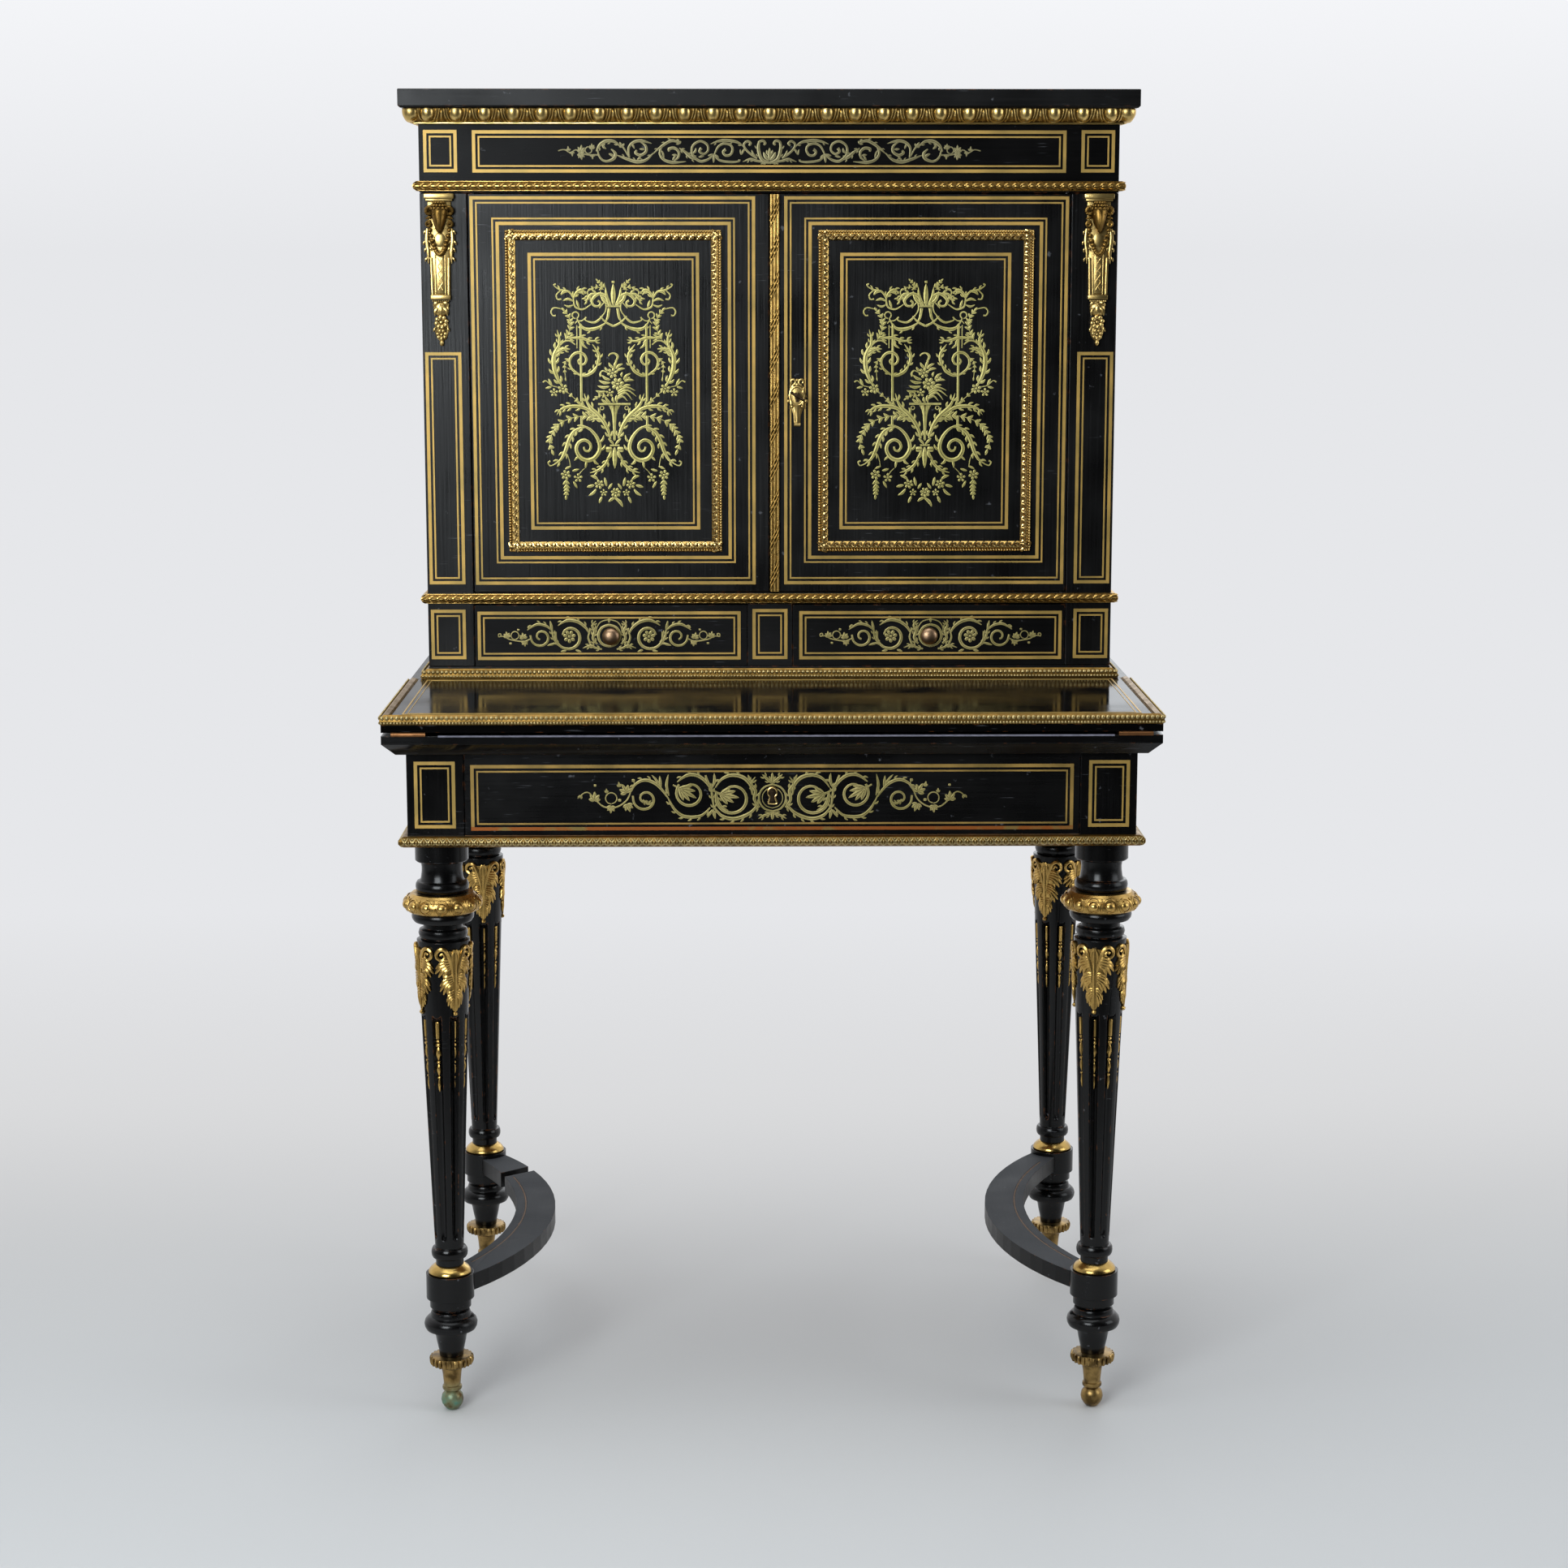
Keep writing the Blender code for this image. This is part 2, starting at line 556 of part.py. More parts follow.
def stretcher_mesh(sign, share_from, share_to, slant_from, slant_to):
    """A flat bar bowed towards the middle of the desk, fitted to the blocks of the legs it reaches."""
    chord = (LEG_Y1 - LEG_Y0) / 2
    radius = (chord ** 2 + STRETCHER_SAG ** 2) / (2 * STRETCHER_SAG)
    middle_y = (LEG_Y0 + LEG_Y1) / 2
    centre_x = LEG_X - STRETCHER_SAG + radius
    half_angle = math.asin(chord / radius)

    def width(share):
        swell = math.sin(math.pi * share) ** STRETCHER_SWELL
        return STRETCHER_END_W + (STRETCHER_W - STRETCHER_END_W) * swell

    def place(share, across):
        angle = (2 * share - 1) * half_angle
        reach = radius + across * width(share)
        return centre_x - reach * math.cos(angle), middle_y + reach * math.sin(angle)

    def block_share(across, leg_y):
        """Share of the arc at which a line across the bar meets the block of a leg."""
        near = 0.0 if leg_y < middle_y else 1.0
        far = 0.5
        for _ in range(40):
            middle = (near + far) / 2
            x, y = place(middle, across)
            if math.hypot(x - LEG_X, y - leg_y) < BLOCK_R + SEAT:
                near = middle
            else:
                far = middle
        return far

    steps = max(4, round(STRETCHER_STEPS * (share_to - share_from)))
    columns = [i / (STRETCHER_COLUMNS - 1) - 0.5 for i in range(STRETCHER_COLUMNS)]
    z = (BLOCK_Z0 + BLOCK_Z1) / 2
    bm = bmesh.new()
    rings = []
    for step in range(steps + 1):
        ring = []
        for level, order in ((-1, columns), (1, columns[::-1])):
            for across in order:
                first, last = share_from + slant_from * across, share_to + slant_to * across
                if share_from == 0:
                    first = block_share(across, LEG_Y0)
                if share_to == 1:
                    last = block_share(across, LEG_Y1)
                x, y = place(first + (last - first) * step / steps, across)
                ring.append(bm.verts.new((sign * x, y, z + level * STRETCHER_T / 2)))
        rings.append(ring)
    skin(bm, rings, closed_ends=False)
    for ring in (rings[0], rings[-1]):
        upper = ring[::-1]
        for i in range(len(columns) - 1):
            bm.faces.new((ring[i], ring[i + 1], upper[i + 1], upper[i]))
    return bm


def build_stretchers(wood):
    """The right stretcher is whole; the left one has snapped near the rear leg."""
    whole = stretcher_mesh(1, 0, 1, 0, 0)
    add_object("right_stretcher", whole, wood, smooth_angle=SMOOTH)
    long_piece = stretcher_mesh(-1, 0, BREAK_START, 0, BREAK_SLANT)
    add_object("left_stretcher", long_piece, wood, smooth_angle=SMOOTH)
    stub = stretcher_mesh(-1, BREAK_END, 1, BREAK_SLANT, 0)
    add_object("left_stretcher_stub", stub, wood, smooth_angle=SMOOTH)


def build_apron(wood, bronze):
    """Corner blocks, side and back rails, the floor that carries the drawer, and the gilt moulding."""
    z = (APRON_Z0, APRON_Z1)
    block_y1 = APRON_Y0 + CORNER_D
    inner = APRON_HALF - APRON_T
    block_inner = APRON_HALF - CORNER_W
    side_y = (block_y1 + SEAT, APRON_Y1 - APRON_T - SEAT)
    for side, sign in SIDES:
        block_x = sorted((sign * block_inner, sign * APRON_HALF))
        rail_x = sorted((sign * inner, sign * APRON_HALF))
        add_object("apron_block_" + side, box(block_x, (APRON_Y0, block_y1), z), wood, edge=EDGE)
        add_object("apron_side_" + side, box(rail_x, side_y, z), wood, edge=EDGE)
    back = box((-APRON_HALF, APRON_HALF), (APRON_Y1 - APRON_T, APRON_Y1), z)
    add_object("apron_back", back, wood, edge=EDGE)
    floor_x, floor_front_x = inner - SEAT, block_inner - SEAT
    notch_y, floor_y1 = side_y
    outline = (
        (-floor_front_x, APRON_Y0), (floor_front_x, APRON_Y0), (floor_front_x, notch_y), (floor_x, notch_y),
        (floor_x, floor_y1), (-floor_x, floor_y1), (-floor_x, notch_y), (-floor_front_x, notch_y),
    )
    add_object("apron_floor", prism(outline, APRON_Z0, APRON_FLOOR_Z1), wood)
    profile = section(APRON_SECTION, APRON_Z0, APRON_MOULD_H, APRON_MOULD_PROUD)
    add_object("apron_moulding", around_front(profile, APRON_HALF, APRON_Y0, APRON_Y1), bronze)


def cove_layers(low, high, inset):
    """Layers of a hollow quarter-round that swells from an inset at the bottom to the full edge."""
    layers = []
    for step in range(SLAB_COVE_STEPS + 1):
        angle = math.pi / 2 * step / SLAB_COVE_STEPS
        layers.append((inset * math.cos(angle), low + (high - low) * (1 - math.cos(angle))))
    return layers


def build_table_top(wood, bronze, brass):
    """Coved slab, fixed rear board, and the writing leaf hinged along the front edge."""
    half = TABLE_W / 2
    layers = []
    for inset, z in cove_layers(SLAB_Z0, SLAB_Z0 + SLAB_COVE_H, SLAB_COVE_SET):
        layers.append((half - inset, FRONT_Y + inset, BACK_Y, z))
    layers.append((half, FRONT_Y, BACK_Y, SLAB_Z1))
    add_object("lower_slab", rect_stack(layers), wood)
    rear = box((-half, half), (REAR_BOARD_Y0, BACK_Y), (SLAB_Z1 + SEAT, LEAF_Z1))
    add_object("rear_board", rear, wood, edge=EDGE)

    axis = make_pivot("leaf_axis", (0, HINGE_Y, HINGE_Z))
    rebate_z = LEAF_Z1 - LEAF_MOULD_H
    inner_half, inner_y = half - LEAF_MOULD_W, FRONT_Y + LEAF_MOULD_W
    leaf = rect_stack((
        (half, FRONT_Y, LEAF_Y1, LEAF_Z0), (half, FRONT_Y, LEAF_Y1, rebate_z),
        (inner_half, inner_y, LEAF_Y1, rebate_z), (inner_half, inner_y, LEAF_Y1, LEAF_Z1),
    ))
    # The rear edges of the steps lie in one plane, so the back is drawn as one face.
    bmesh.ops.dissolve_limit(leaf, angle_limit=0.001, verts=leaf.verts, edges=leaf.edges)
    add_object("writing_leaf", leaf, wood, axis)
    top, bed = LEAF_Z1 + LEAF_MOULD_LIP, rebate_z + SEAT
    rise = top - bed
    profile = (
        (SEAT - LEAF_MOULD_W, bed), (LEAF_MOULD_PROUD * 0.4, bed), (LEAF_MOULD_PROUD, bed + 0.35 * rise),
        (LEAF_MOULD_PROUD * 0.4, bed + 0.75 * rise), (-0.35 * LEAF_MOULD_W, top),
        (-0.75 * LEAF_MOULD_W, top - 0.10 * rise), (SEAT - LEAF_MOULD_W, top - 0.25 * rise),
    )
    add_object("leaf_moulding", around_front(profile, half, FRONT_Y, LEAF_Y1), bronze, axis)

    plate_low = SLAB_Z1 + SEAT
    plate_high = plate_low + HINGE_PLATE_T
    outline = [(HINGE_Y + HINGE_PLATE_D, plate_low), (HINGE_Y + HINGE_PLATE_D, plate_high)]
    start = math.asin((plate_high - HINGE_Z) / HINGE_BARREL_R)
    end = math.tau + math.asin((plate_low - HINGE_Z) / HINGE_BARREL_R)
    for step in range(HINGE_BARREL_STEPS + 1):
        angle = start + (end - start) * step / HINGE_BARREL_STEPS
        y = HINGE_Y + HINGE_BARREL_R * math.cos(angle)
        outline.append((y, HINGE_Z + HINGE_BARREL_R * math.sin(angle)))
    hinge_far = half - HINGE_FROM_SIDE
    for side, sign in SIDES:
        x = sorted((sign * hinge_far, sign * (hinge_far - HINGE_L)))
        add_object("leaf_hinge_" + side, prism(outline, x[0], x[1], "X"), brass, smooth_angle=SMOOTH)


def open_drawer(name, front_x, front_z, face_y, front_t, box_x, box_top, length, material, pivot):
    """A drawer: its front, and an open box behind it on the same floor."""
    item = add_object(name, box(front_x, (face_y, face_y + front_t), front_z), material, pivot)
    overlap = front_t / 2
    body = box(box_x, (face_y + overlap, face_y + length), (front_z[0], box_top))
    join_with(item, body, "UNION", pivot)
    hollow = box((box_x[0] + DRAWER_WALL, box_x[1] - DRAWER_WALL),
                 (face_y + front_t, face_y + length - DRAWER_WALL),
                 (front_z[0] + DRAWER_BOTTOM, front_z[1] + DRAWER_WALL))
    join_with(item, hollow, "DIFFERENCE", pivot)
    return item


def oval_plate(middle_x, middle_z, width, height, face_y, waist):
    """An escutcheon: an oval, drawn in at its waist, on a face."""
    points = []
    for i in range(PLATE_POINTS):
        angle = math.tau * i / PLATE_POINTS
        pinch = 1 - waist * math.sin(2 * angle) ** 2
        x = middle_x + width / 2 * math.cos(angle) * pinch
        points.append((x, middle_z + height / 2 * math.sin(angle)))
    return prism(points, face_y - SEAT - PLATE_T, face_y - SEAT, "Y")


def keyhole_rim(middle_x, middle_z, face_y):
    """A raised rim of keyhole outline: a round head on a flared foot."""
    head = RIM_W / 2
    head_z = middle_z + RIM_H / 2 - head
    points = []
    for step in range(RIM_STEPS + 1):
        angle = -math.pi / 4 + 3 * math.pi / 2 * step / RIM_STEPS
        points.append((middle_x + head * math.cos(angle), head_z + head * math.sin(angle)))
    foot = RIM_FLARE * head
    points += [(middle_x - foot, middle_z - RIM_H / 2), (middle_x + foot, middle_z - RIM_H / 2)]
    return prism(points, face_y - SEAT - PLATE_T, face_y - SEAT, "Y")


def build_frieze_drawer(wood, bronze):
    """The wide drawer in the apron, with a brass rim round its keyhole."""
    pivot = make_pivot("frieze_drawer_slide", (0, APRON_Y0, APRON_FLOOR_Z1))
    half = APRON_HALF - CORNER_W - PLAY / 2
    z = (APRON_FLOOR_Z1 + SEAT, APRON_Z1 - PLAY)
    side = half - DRAWER_SIDE_PLAY
    length = APRON_Y1 - APRON_T - FRIEZE_DRAWER_REAR_GAP - APRON_Y0
    open_drawer("frieze_drawer", (-half, half), z, APRON_Y0, FRIEZE_DRAWER_FRONT_T, (-side, side),
                z[1] - FRIEZE_DRAWER_SIDE_DROP, length, wood, pivot)
    middle_z = (z[0] + z[1]) / 2
    rim = add_object("frieze_drawer_escutcheon", keyhole_rim(0, middle_z, APRON_Y0), bronze, pivot)
    hole_z = middle_z + RIM_H / 2 - RIM_W / 2
    hole = cylinder((0, APRON_Y0, hole_z), "Y", KEYHOLE_R, 4 * PLATE_T, PIN_SIDES)
    join_with(rim, hole, "DIFFERENCE", pivot)


def build_carcass(wood, inside, bronze):
    """Boards of the upper cabinet, from the base up to the top slab, with its gilt mouldings."""
    stand = BASE_Z1 + SEAT
    behind = CABINET_BACK_Y0 - SEAT
    width = (-CABINET_HALF, CABINET_HALF)
    front_y = (CABINET_Y0, CABINET_Y0 + STILE_T)
    add_object("cabinet_base", box(width, (CABINET_Y0, BACK_Y), (BASE_Z0, BASE_Z1)), wood)
    for side, sign in SIDES:
        side_x = sorted((sign * SIDE_INNER, sign * CABINET_HALF))
        stile_x = sorted((sign * OPENING_HALF, sign * CABINET_HALF))
        add_object("cabinet_side_" + side, box(side_x, (BEHIND_STILE_Y, behind), (stand, FRIEZE_Z1)), wood)
        add_object("stile_" + side, box(stile_x, front_y, (stand, FRIEZE_Z0 - SEAT)), wood, edge=EDGE)
    add_object("cabinet_back", box(width, (CABINET_BACK_Y0, BACK_Y), (stand, FRIEZE_Z1)), inside)

    half, thin = DIVIDER_W / 2, PARTITION_T / 2
    tee = (
        (-half, front_y[0]), (half, front_y[0]), (half, front_y[1]), (thin, front_y[1]),
        (thin, behind), (-thin, behind), (-thin, front_y[1]), (-half, front_y[1]),
    )
    add_object("drawer_divider", prism(tee, stand, CUPBOARD_Z0 - SEAT), wood)

    inner, front_inner = SIDE_INNER - SEAT, OPENING_HALF - SEAT
    notch = BEHIND_STILE_Y
    outline = (
        (-front_inner, CABINET_Y0), (front_inner, CABINET_Y0), (front_inner, notch), (inner, notch),
        (inner, behind), (-inner, behind), (-inner, notch), (-front_inner, notch),
    )
    floor = add_object("cupboard_floor", prism(outline, CUPBOARD_Z0, CUPBOARD_Z1), wood)
    shelf_z = CUPBOARD_Z1 + SHELF_RISE
    shelf = box((-inner, inner), (CABINET_Y0 + SHELF_SETBACK, behind), (shelf_z, shelf_z + SHELF_T))
    add_object("shelf", shelf, inside, edge=EDGE)
    frieze = add_object("frieze", box(width, front_y, (FRIEZE_Z0, FRIEZE_Z1)), wood)
    for item, end_z in ((floor, CUPBOARD_Z1), (frieze, FRIEZE_Z0)):
        for sign in (-1, 1):
            hole = cylinder((sign * PIVOT_X, PIVOT_Y, end_z), "Z", PIVOT_R + PIVOT_CLEAR,
                            2 * (PIVOT_L + PIVOT_CLEAR), PIN_SIDES)
            join_with(item, hole, "DIFFERENCE")

    top_half, top_y = CABINET_HALF + TOP_OVERHANG, CABINET_Y0 - TOP_OVERHANG
    add_object("top_slab", rect_stack((
        (top_half - TOP_ROUND, top_y + TOP_ROUND, BACK_Y, TOP_Z0),
        (top_half, top_y, BACK_Y, TOP_Z0 + TOP_ROUND),
        (top_half, top_y, BACK_Y, TOP_Z1 - EDGE),
        (top_half - EDGE, top_y + EDGE, BACK_Y, TOP_Z1),
    )), wood)
    build_mouldings(bronze)


def build_mouldings(bronze):
    """Gilt mouldings round the front and the ends of the cabinet."""
    for name, shape, low, height, proud in (
        ("base_moulding", BASE_SECTION, BASE_Z0, BASE_MOULD_H, BASE_MOULD_PROUD),
        ("mid_moulding", TORUS_SECTION, CUPBOARD_Z1 - MID_MOULD_DROP, TORUS_H, TORUS_PROUD),
        ("frieze_moulding", TORUS_SECTION, FRIEZE_Z0 + FRIEZE_MOULD_RISE, TORUS_H, TORUS_PROUD),
        ("cornice", CORNICE_SECTION, FRIEZE_Z1 - CORNICE_H, CORNICE_H, CORNICE_PROUD),
    ):
        profile = section(shape, low, height, proud)
        add_object(name, around_front(profile, CABINET_HALF, CABINET_Y0, BACK_Y), bronze)


def build_terms(bronze):
    """Gilt ram's-head terms on the stiles, lofted from their widths and projections."""
    top = FRIEZE_Z0 - SEAT - EDGE
    for side, sign in SIDES:
        middle_x = sign * (CABINET_HALF - STILE_W / 2 + TERM_OUT)
        bm = bmesh.new()
        rings = []
        for drop, half, proud in TERM_SECTIONS:
            ring = []
            for step in range(TERM_STEPS + 1):
                angle = math.pi * step / TERM_STEPS
                x = middle_x + half * math.cos(angle)
                ring.append(bm.verts.new((x, CABINET_Y0 - SEAT - proud * math.sin(angle), top - drop)))
            rings.append(ring)
        add_object("ram_mount_" + side, skin(bm, rings), bronze, smooth_angle=SMOOTH)


def door_mesh(sign):
    """A door panel between the pivots and the meeting line."""
    x = sorted((sign * MEETING_GAP, sign * DOOR_EDGE))
    return box(x, (CABINET_Y0, CABINET_Y0 + DOOR_T), (DOOR_Z0, DOOR_Z1))


def bronze_frame(sign):
    """The bronze leaf moulding applied to a door."""
    profile = (
        (0, SEAT), (BRONZE_RAIL, SEAT), (BRONZE_RAIL, 0.35 * BRONZE_PROUD),
        (0.65 * BRONZE_RAIL, BRONZE_PROUD), (0.35 * BRONZE_RAIL, BRONZE_PROUD), (0, 0.45 * BRONZE_PROUD),
    )
    near, far = MEETING_GAP + BRONZE_MEETING_MARGIN, DOOR_EDGE - BRONZE_HINGE_MARGIN
    low, high = DOOR_Z0 + BRONZE_FOOT_MARGIN, DOOR_Z1 - BRONZE_TOP_MARGIN
    return picture_frame(profile, sign * (near + far) / 2, (low + high) / 2, (far - near) / 2,
                         (high - low) / 2, CABINET_Y0)


def build_doors(wood, bronze):
    """Two doors on pins at top and bottom. The right one carries the astragal and the lock."""
    pivots = {}
    for side, sign in SIDES:
        pivot = make_pivot(side + "_door_axis", (sign * PIVOT_X, PIVOT_Y, DOOR_Z0))
        pivots[side] = pivot
        door = add_object(side + "_door", door_mesh(sign), wood, pivot)
        pin = cylinder((sign * PIVOT_X, PIVOT_Y, (DOOR_Z0 + DOOR_Z1) / 2), "Z", PIVOT_R,
                       DOOR_H + 2 * (PLAY + PIVOT_L), PIN_SIDES)
        join_with(door, pin, "UNION", pivot)
        if side == "right":
            hole = cylinder((KEY_FROM_EDGE, CABINET_Y0, KEY_Z), "Y", KEYHOLE_R, 4 * DOOR_T, PIN_SIDES)
            join_with(door, hole, "DIFFERENCE", pivot)
        add_object(side + "_door_bronze", bronze_frame(sign), bronze, pivot)
    # The astragal ends at the meeting line, so that each door can be opened on its own.
    half = ASTRAGAL_W / 2
    outline = []
    for step in range(ASTRAGAL_STEPS + 1):
        angle = math.pi * step / ASTRAGAL_STEPS
        x = half + half * math.cos(angle)
        outline.append((x, CABINET_Y0 - SEAT - ASTRAGAL_PROUD * math.sin(angle)))
    add_object("astragal", prism(outline, DOOR_Z0, DOOR_Z1), bronze, pivots["right"], smooth_angle=SMOOTH)
    return pivots["right"]


def build_lock(bronze, steel, pivot):
    """Keyhole plate, key, lock case and bolt of the right door."""
    x, z = KEY_FROM_EDGE, KEY_Z
    waisted = oval_plate(x, z - DOOR_PLATE_DROP, DOOR_PLATE_W, DOOR_PLATE_H, CABINET_Y0, DOOR_PLATE_WAIST)
    plate = add_object("door_escutcheon", waisted, bronze, pivot)
    hole = cylinder((x, CABINET_Y0, z), "Y", KEYHOLE_R, 4 * PLATE_T, PIN_SIDES)
    join_with(plate, hole, "DIFFERENCE", pivot)

    back = CABINET_Y0 + DOOR_T
    case_y0 = back + SEAT
    case_y1 = case_y0 + LOCK_D
    key_axis = make_pivot("key_axis", (x, CABINET_Y0, z))
    bow_y = CABINET_Y0 - PLATE_T - KEY_SHANK_OUT - KEY_BOW_R
    tip_y = case_y1 - 2 * LOCK_WALL
    shank_y0 = bow_y + KEY_BOW_HOLE_R + KEY_BOW_BITE
    shank = cylinder((x, (shank_y0 + tip_y) / 2, z), "Y", KEY_SHANK_R, tip_y - shank_y0, PIN_SIDES)
    key = add_object("door_key", shank, steel, key_axis)
    bow = cylinder((x, bow_y, z), "X", KEY_BOW_R, KEY_BOW_T, KEY_BOW_SIDES)
    eye = cylinder((x, bow_y, z), "X", KEY_BOW_HOLE_R, 3 * KEY_BOW_T, KEY_BOW_SIDES)
    bit_y1 = tip_y - KEY_NOSE
    bit = box((x - KEY_SHANK_R / 2, x + KEY_SHANK_R / 2), (bit_y1 - KEY_BIT_W, bit_y1), (z - KEY_BIT_R, z))
    join_with(key, bow, "UNION", key_axis)
    join_with(key, eye, "DIFFERENCE", key_axis)
    join_with(key, bit, "UNION", key_axis)

    case_x = (x - LOCK_W / 2, x + LOCK_W / 2)
    case_z = (z - LOCK_H / 2, z + LOCK_H / 2)
    case = add_object("lock_case", box(case_x, (case_y0, case_y1), case_z), steel, pivot)
    room = box((case_x[0] + LOCK_WALL, case_x[1] - LOCK_WALL), (case_y0 - LOCK_WALL, case_y1 - LOCK_WALL),
               (case_z[0] + LOCK_WALL, case_z[1] - LOCK_WALL))
    join_with(case, room, "DIFFERENCE", pivot)
    bolt_y1 = case_y1 - LOCK_WALL - SEAT
    bolt_y0 = bolt_y1 - BOLT_T
    bolt_z = (z + BOLT_FROM_KEY - BOLT_H / 2, z + BOLT_FROM_KEY + BOLT_H / 2)
    slot = box((case_x[0] - LOCK_WALL, case_x[0] + 2 * LOCK_WALL), (bolt_y0 - SEAT, bolt_y1 + SEAT / 2),
               (bolt_z[0] - SEAT, bolt_z[1] + SEAT))
    join_with(case, slot, "DIFFERENCE", pivot)
    bolt = box((case_x[0], case_x[0] + BOLT_L), (bolt_y0, bolt_y1), bolt_z)
    add_object("lock_bolt", bolt, steel, pivot)


def build_small_drawers(wood, bronze):
    """Two drawers under the doors, each with a turned knob."""
    z = (BASE_Z1 + SEAT, BASE_Z1 + SEAT + SMALL_DRAWER_H)
    near, far = DIVIDER_W / 2 + PLAY / 2, OPENING_HALF - PLAY / 2
    middle_z = (z[0] + z[1]) / 2
    length = CABINET_BACK_Y0 - SMALL_DRAWER_REAR_GAP - CABINET_Y0
    foot = CABINET_Y0 - SEAT
    profile = [(out * (KNOB_OUT - SEAT), share * KNOB_R) for out, share in KNOB_SECTION]
    for side, sign in SIDES:
        middle_x = sign * (near + far) / 2
        pivot = make_pivot(side + "_drawer_slide", (middle_x, CABINET_Y0, z[0]))
        front_x = sorted((sign * near, sign * far))
        box_x = (front_x[0] + DRAWER_SIDE_PLAY, front_x[1] - DRAWER_SIDE_PLAY)
        open_drawer(side + "_drawer", front_x, z, CABINET_Y0, SMALL_DRAWER_FRONT_T, box_x,
                    z[1] - SMALL_DRAWER_SIDE_DROP, length, wood, pivot)
        knob = turned(profile, (0, 0), KNOB_SIDES)
        bmesh.ops.rotate(knob, verts=knob.verts, matrix=Matrix.Rotation(math.pi / 2, 3, "X"))
        bmesh.ops.translate(knob, verts=knob.verts, vec=Vector((middle_x, foot, middle_z)))
        add_object(side + "_knob", knob, bronze, pivot, smooth_angle=SMOOTH)


def build_desk():
    """Model every piece of the desk."""
    clear_scene()
    ebony = make_material("ebonised_wood", (0.012, 0.011, 0.012), 0.35, 0.0)
    inside = make_material("plain_wood", (0.16, 0.075, 0.035), 0.55, 0.0)
    gilt = make_material("gilt_bronze", (0.62, 0.42, 0.14), 0.32, 1.0)
    brass = make_material("worn_brass", (0.42, 0.27, 0.10), 0.40, 1.0)
    steel = make_material("dark_steel", (0.10, 0.09, 0.085), 0.40, 1.0)
    build_legs(ebony, gilt, brass)
    build_stretchers(ebony)
    build_apron(ebony, gilt)
    build_table_top(ebony, gilt, brass)
    build_frieze_drawer(ebony, gilt)
    build_carcass(ebony, inside, gilt)
    build_terms(gilt)
    lock_side = build_doors(ebony, gilt)
    build_lock(gilt, steel, lock_side)
    build_small_drawers(ebony, gilt)
    bpy.context.view_layer.update()


build_desk()
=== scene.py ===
"""Looks of a lady's writing desk: ebonised wood, brass inlay and gilt-bronze mounts on its CAD frame."""

import math

import bpy
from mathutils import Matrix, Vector


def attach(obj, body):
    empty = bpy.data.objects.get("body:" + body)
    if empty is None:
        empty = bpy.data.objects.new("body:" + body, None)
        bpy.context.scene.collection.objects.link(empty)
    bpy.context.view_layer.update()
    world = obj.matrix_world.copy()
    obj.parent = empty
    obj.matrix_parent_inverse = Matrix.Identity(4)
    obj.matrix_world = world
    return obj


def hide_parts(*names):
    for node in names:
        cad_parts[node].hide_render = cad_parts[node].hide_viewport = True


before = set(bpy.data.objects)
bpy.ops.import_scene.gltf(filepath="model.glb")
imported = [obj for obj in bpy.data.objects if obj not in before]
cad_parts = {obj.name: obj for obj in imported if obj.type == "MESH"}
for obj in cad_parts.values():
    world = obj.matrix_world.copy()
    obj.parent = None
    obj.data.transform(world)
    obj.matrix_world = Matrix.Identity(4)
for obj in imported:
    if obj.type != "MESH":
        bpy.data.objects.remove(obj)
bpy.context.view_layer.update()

# Places and sizes are in millimetres, in the frame's own axes, apart from the studio's, in metres.
MM = 0.001
CABINET_FACE = 16.0
APRON_FACE = -238.0
CABINET_HALF = 365.0
APRON_HALF = 363.5
BACK = 266.0
LEG_X = 333.0
LEG_FRONT = -207.5
LEG_REAR = 223.5
# Each leg's place, and the turn of its leaves and flutes in degrees.
LEGS = {
    "front_left": (-LEG_X, LEG_FRONT, 30.0),
    "front_right": (LEG_X, LEG_FRONT, -18.0),
    "rear_left": (-LEG_X, LEG_REAR, 12.0),
    "rear_right": (LEG_X, LEG_REAR, -35.0),
}
THICK_STRING = 3.4
THIN_STRING = 1.7
STRING_GAP = 2.5
INLAY_PROUD = 0.3
INLAY_BULGE = 0.12
STROKE_FINENESS = 0.8
LEAF_TOP = 736.2
# Half width, front, back and overhang of the writing leaf's bead rows.
LEAF_RIM = (386.0, -263.0, 6.0, 0.0)
# Left, right, low and high edge of the right door's bronze frame.
DOOR_FRAME = (51.0, 277.0, 872.2, 1208.6)
SMALL_DRAWER_Z = 781.5
KNOB_X = 169.9
EGG_TOP = 1332.3
TERM_PLACE = (344.5, 15.0, 1245.8)
SHAFT_LOW = 176.7
SHAFT_HIGH = 501.8
SHAFT_THIN = 14.7
SHAFT_SWELL = 12.1
FLUTES = 8
COLLAR_RADIUS = 38.2
COLLAR_EGGS = 14
FOOT_RING_RADIUS = 20.4
FOOT_TONGUES = 24
# Half thickness and height of the stretchers' cut line, and of the bare wood that shows in it.
GROOVE_CUT = (1.1, 144.5)
GROOVE_LINE = (0.95, 143.5)
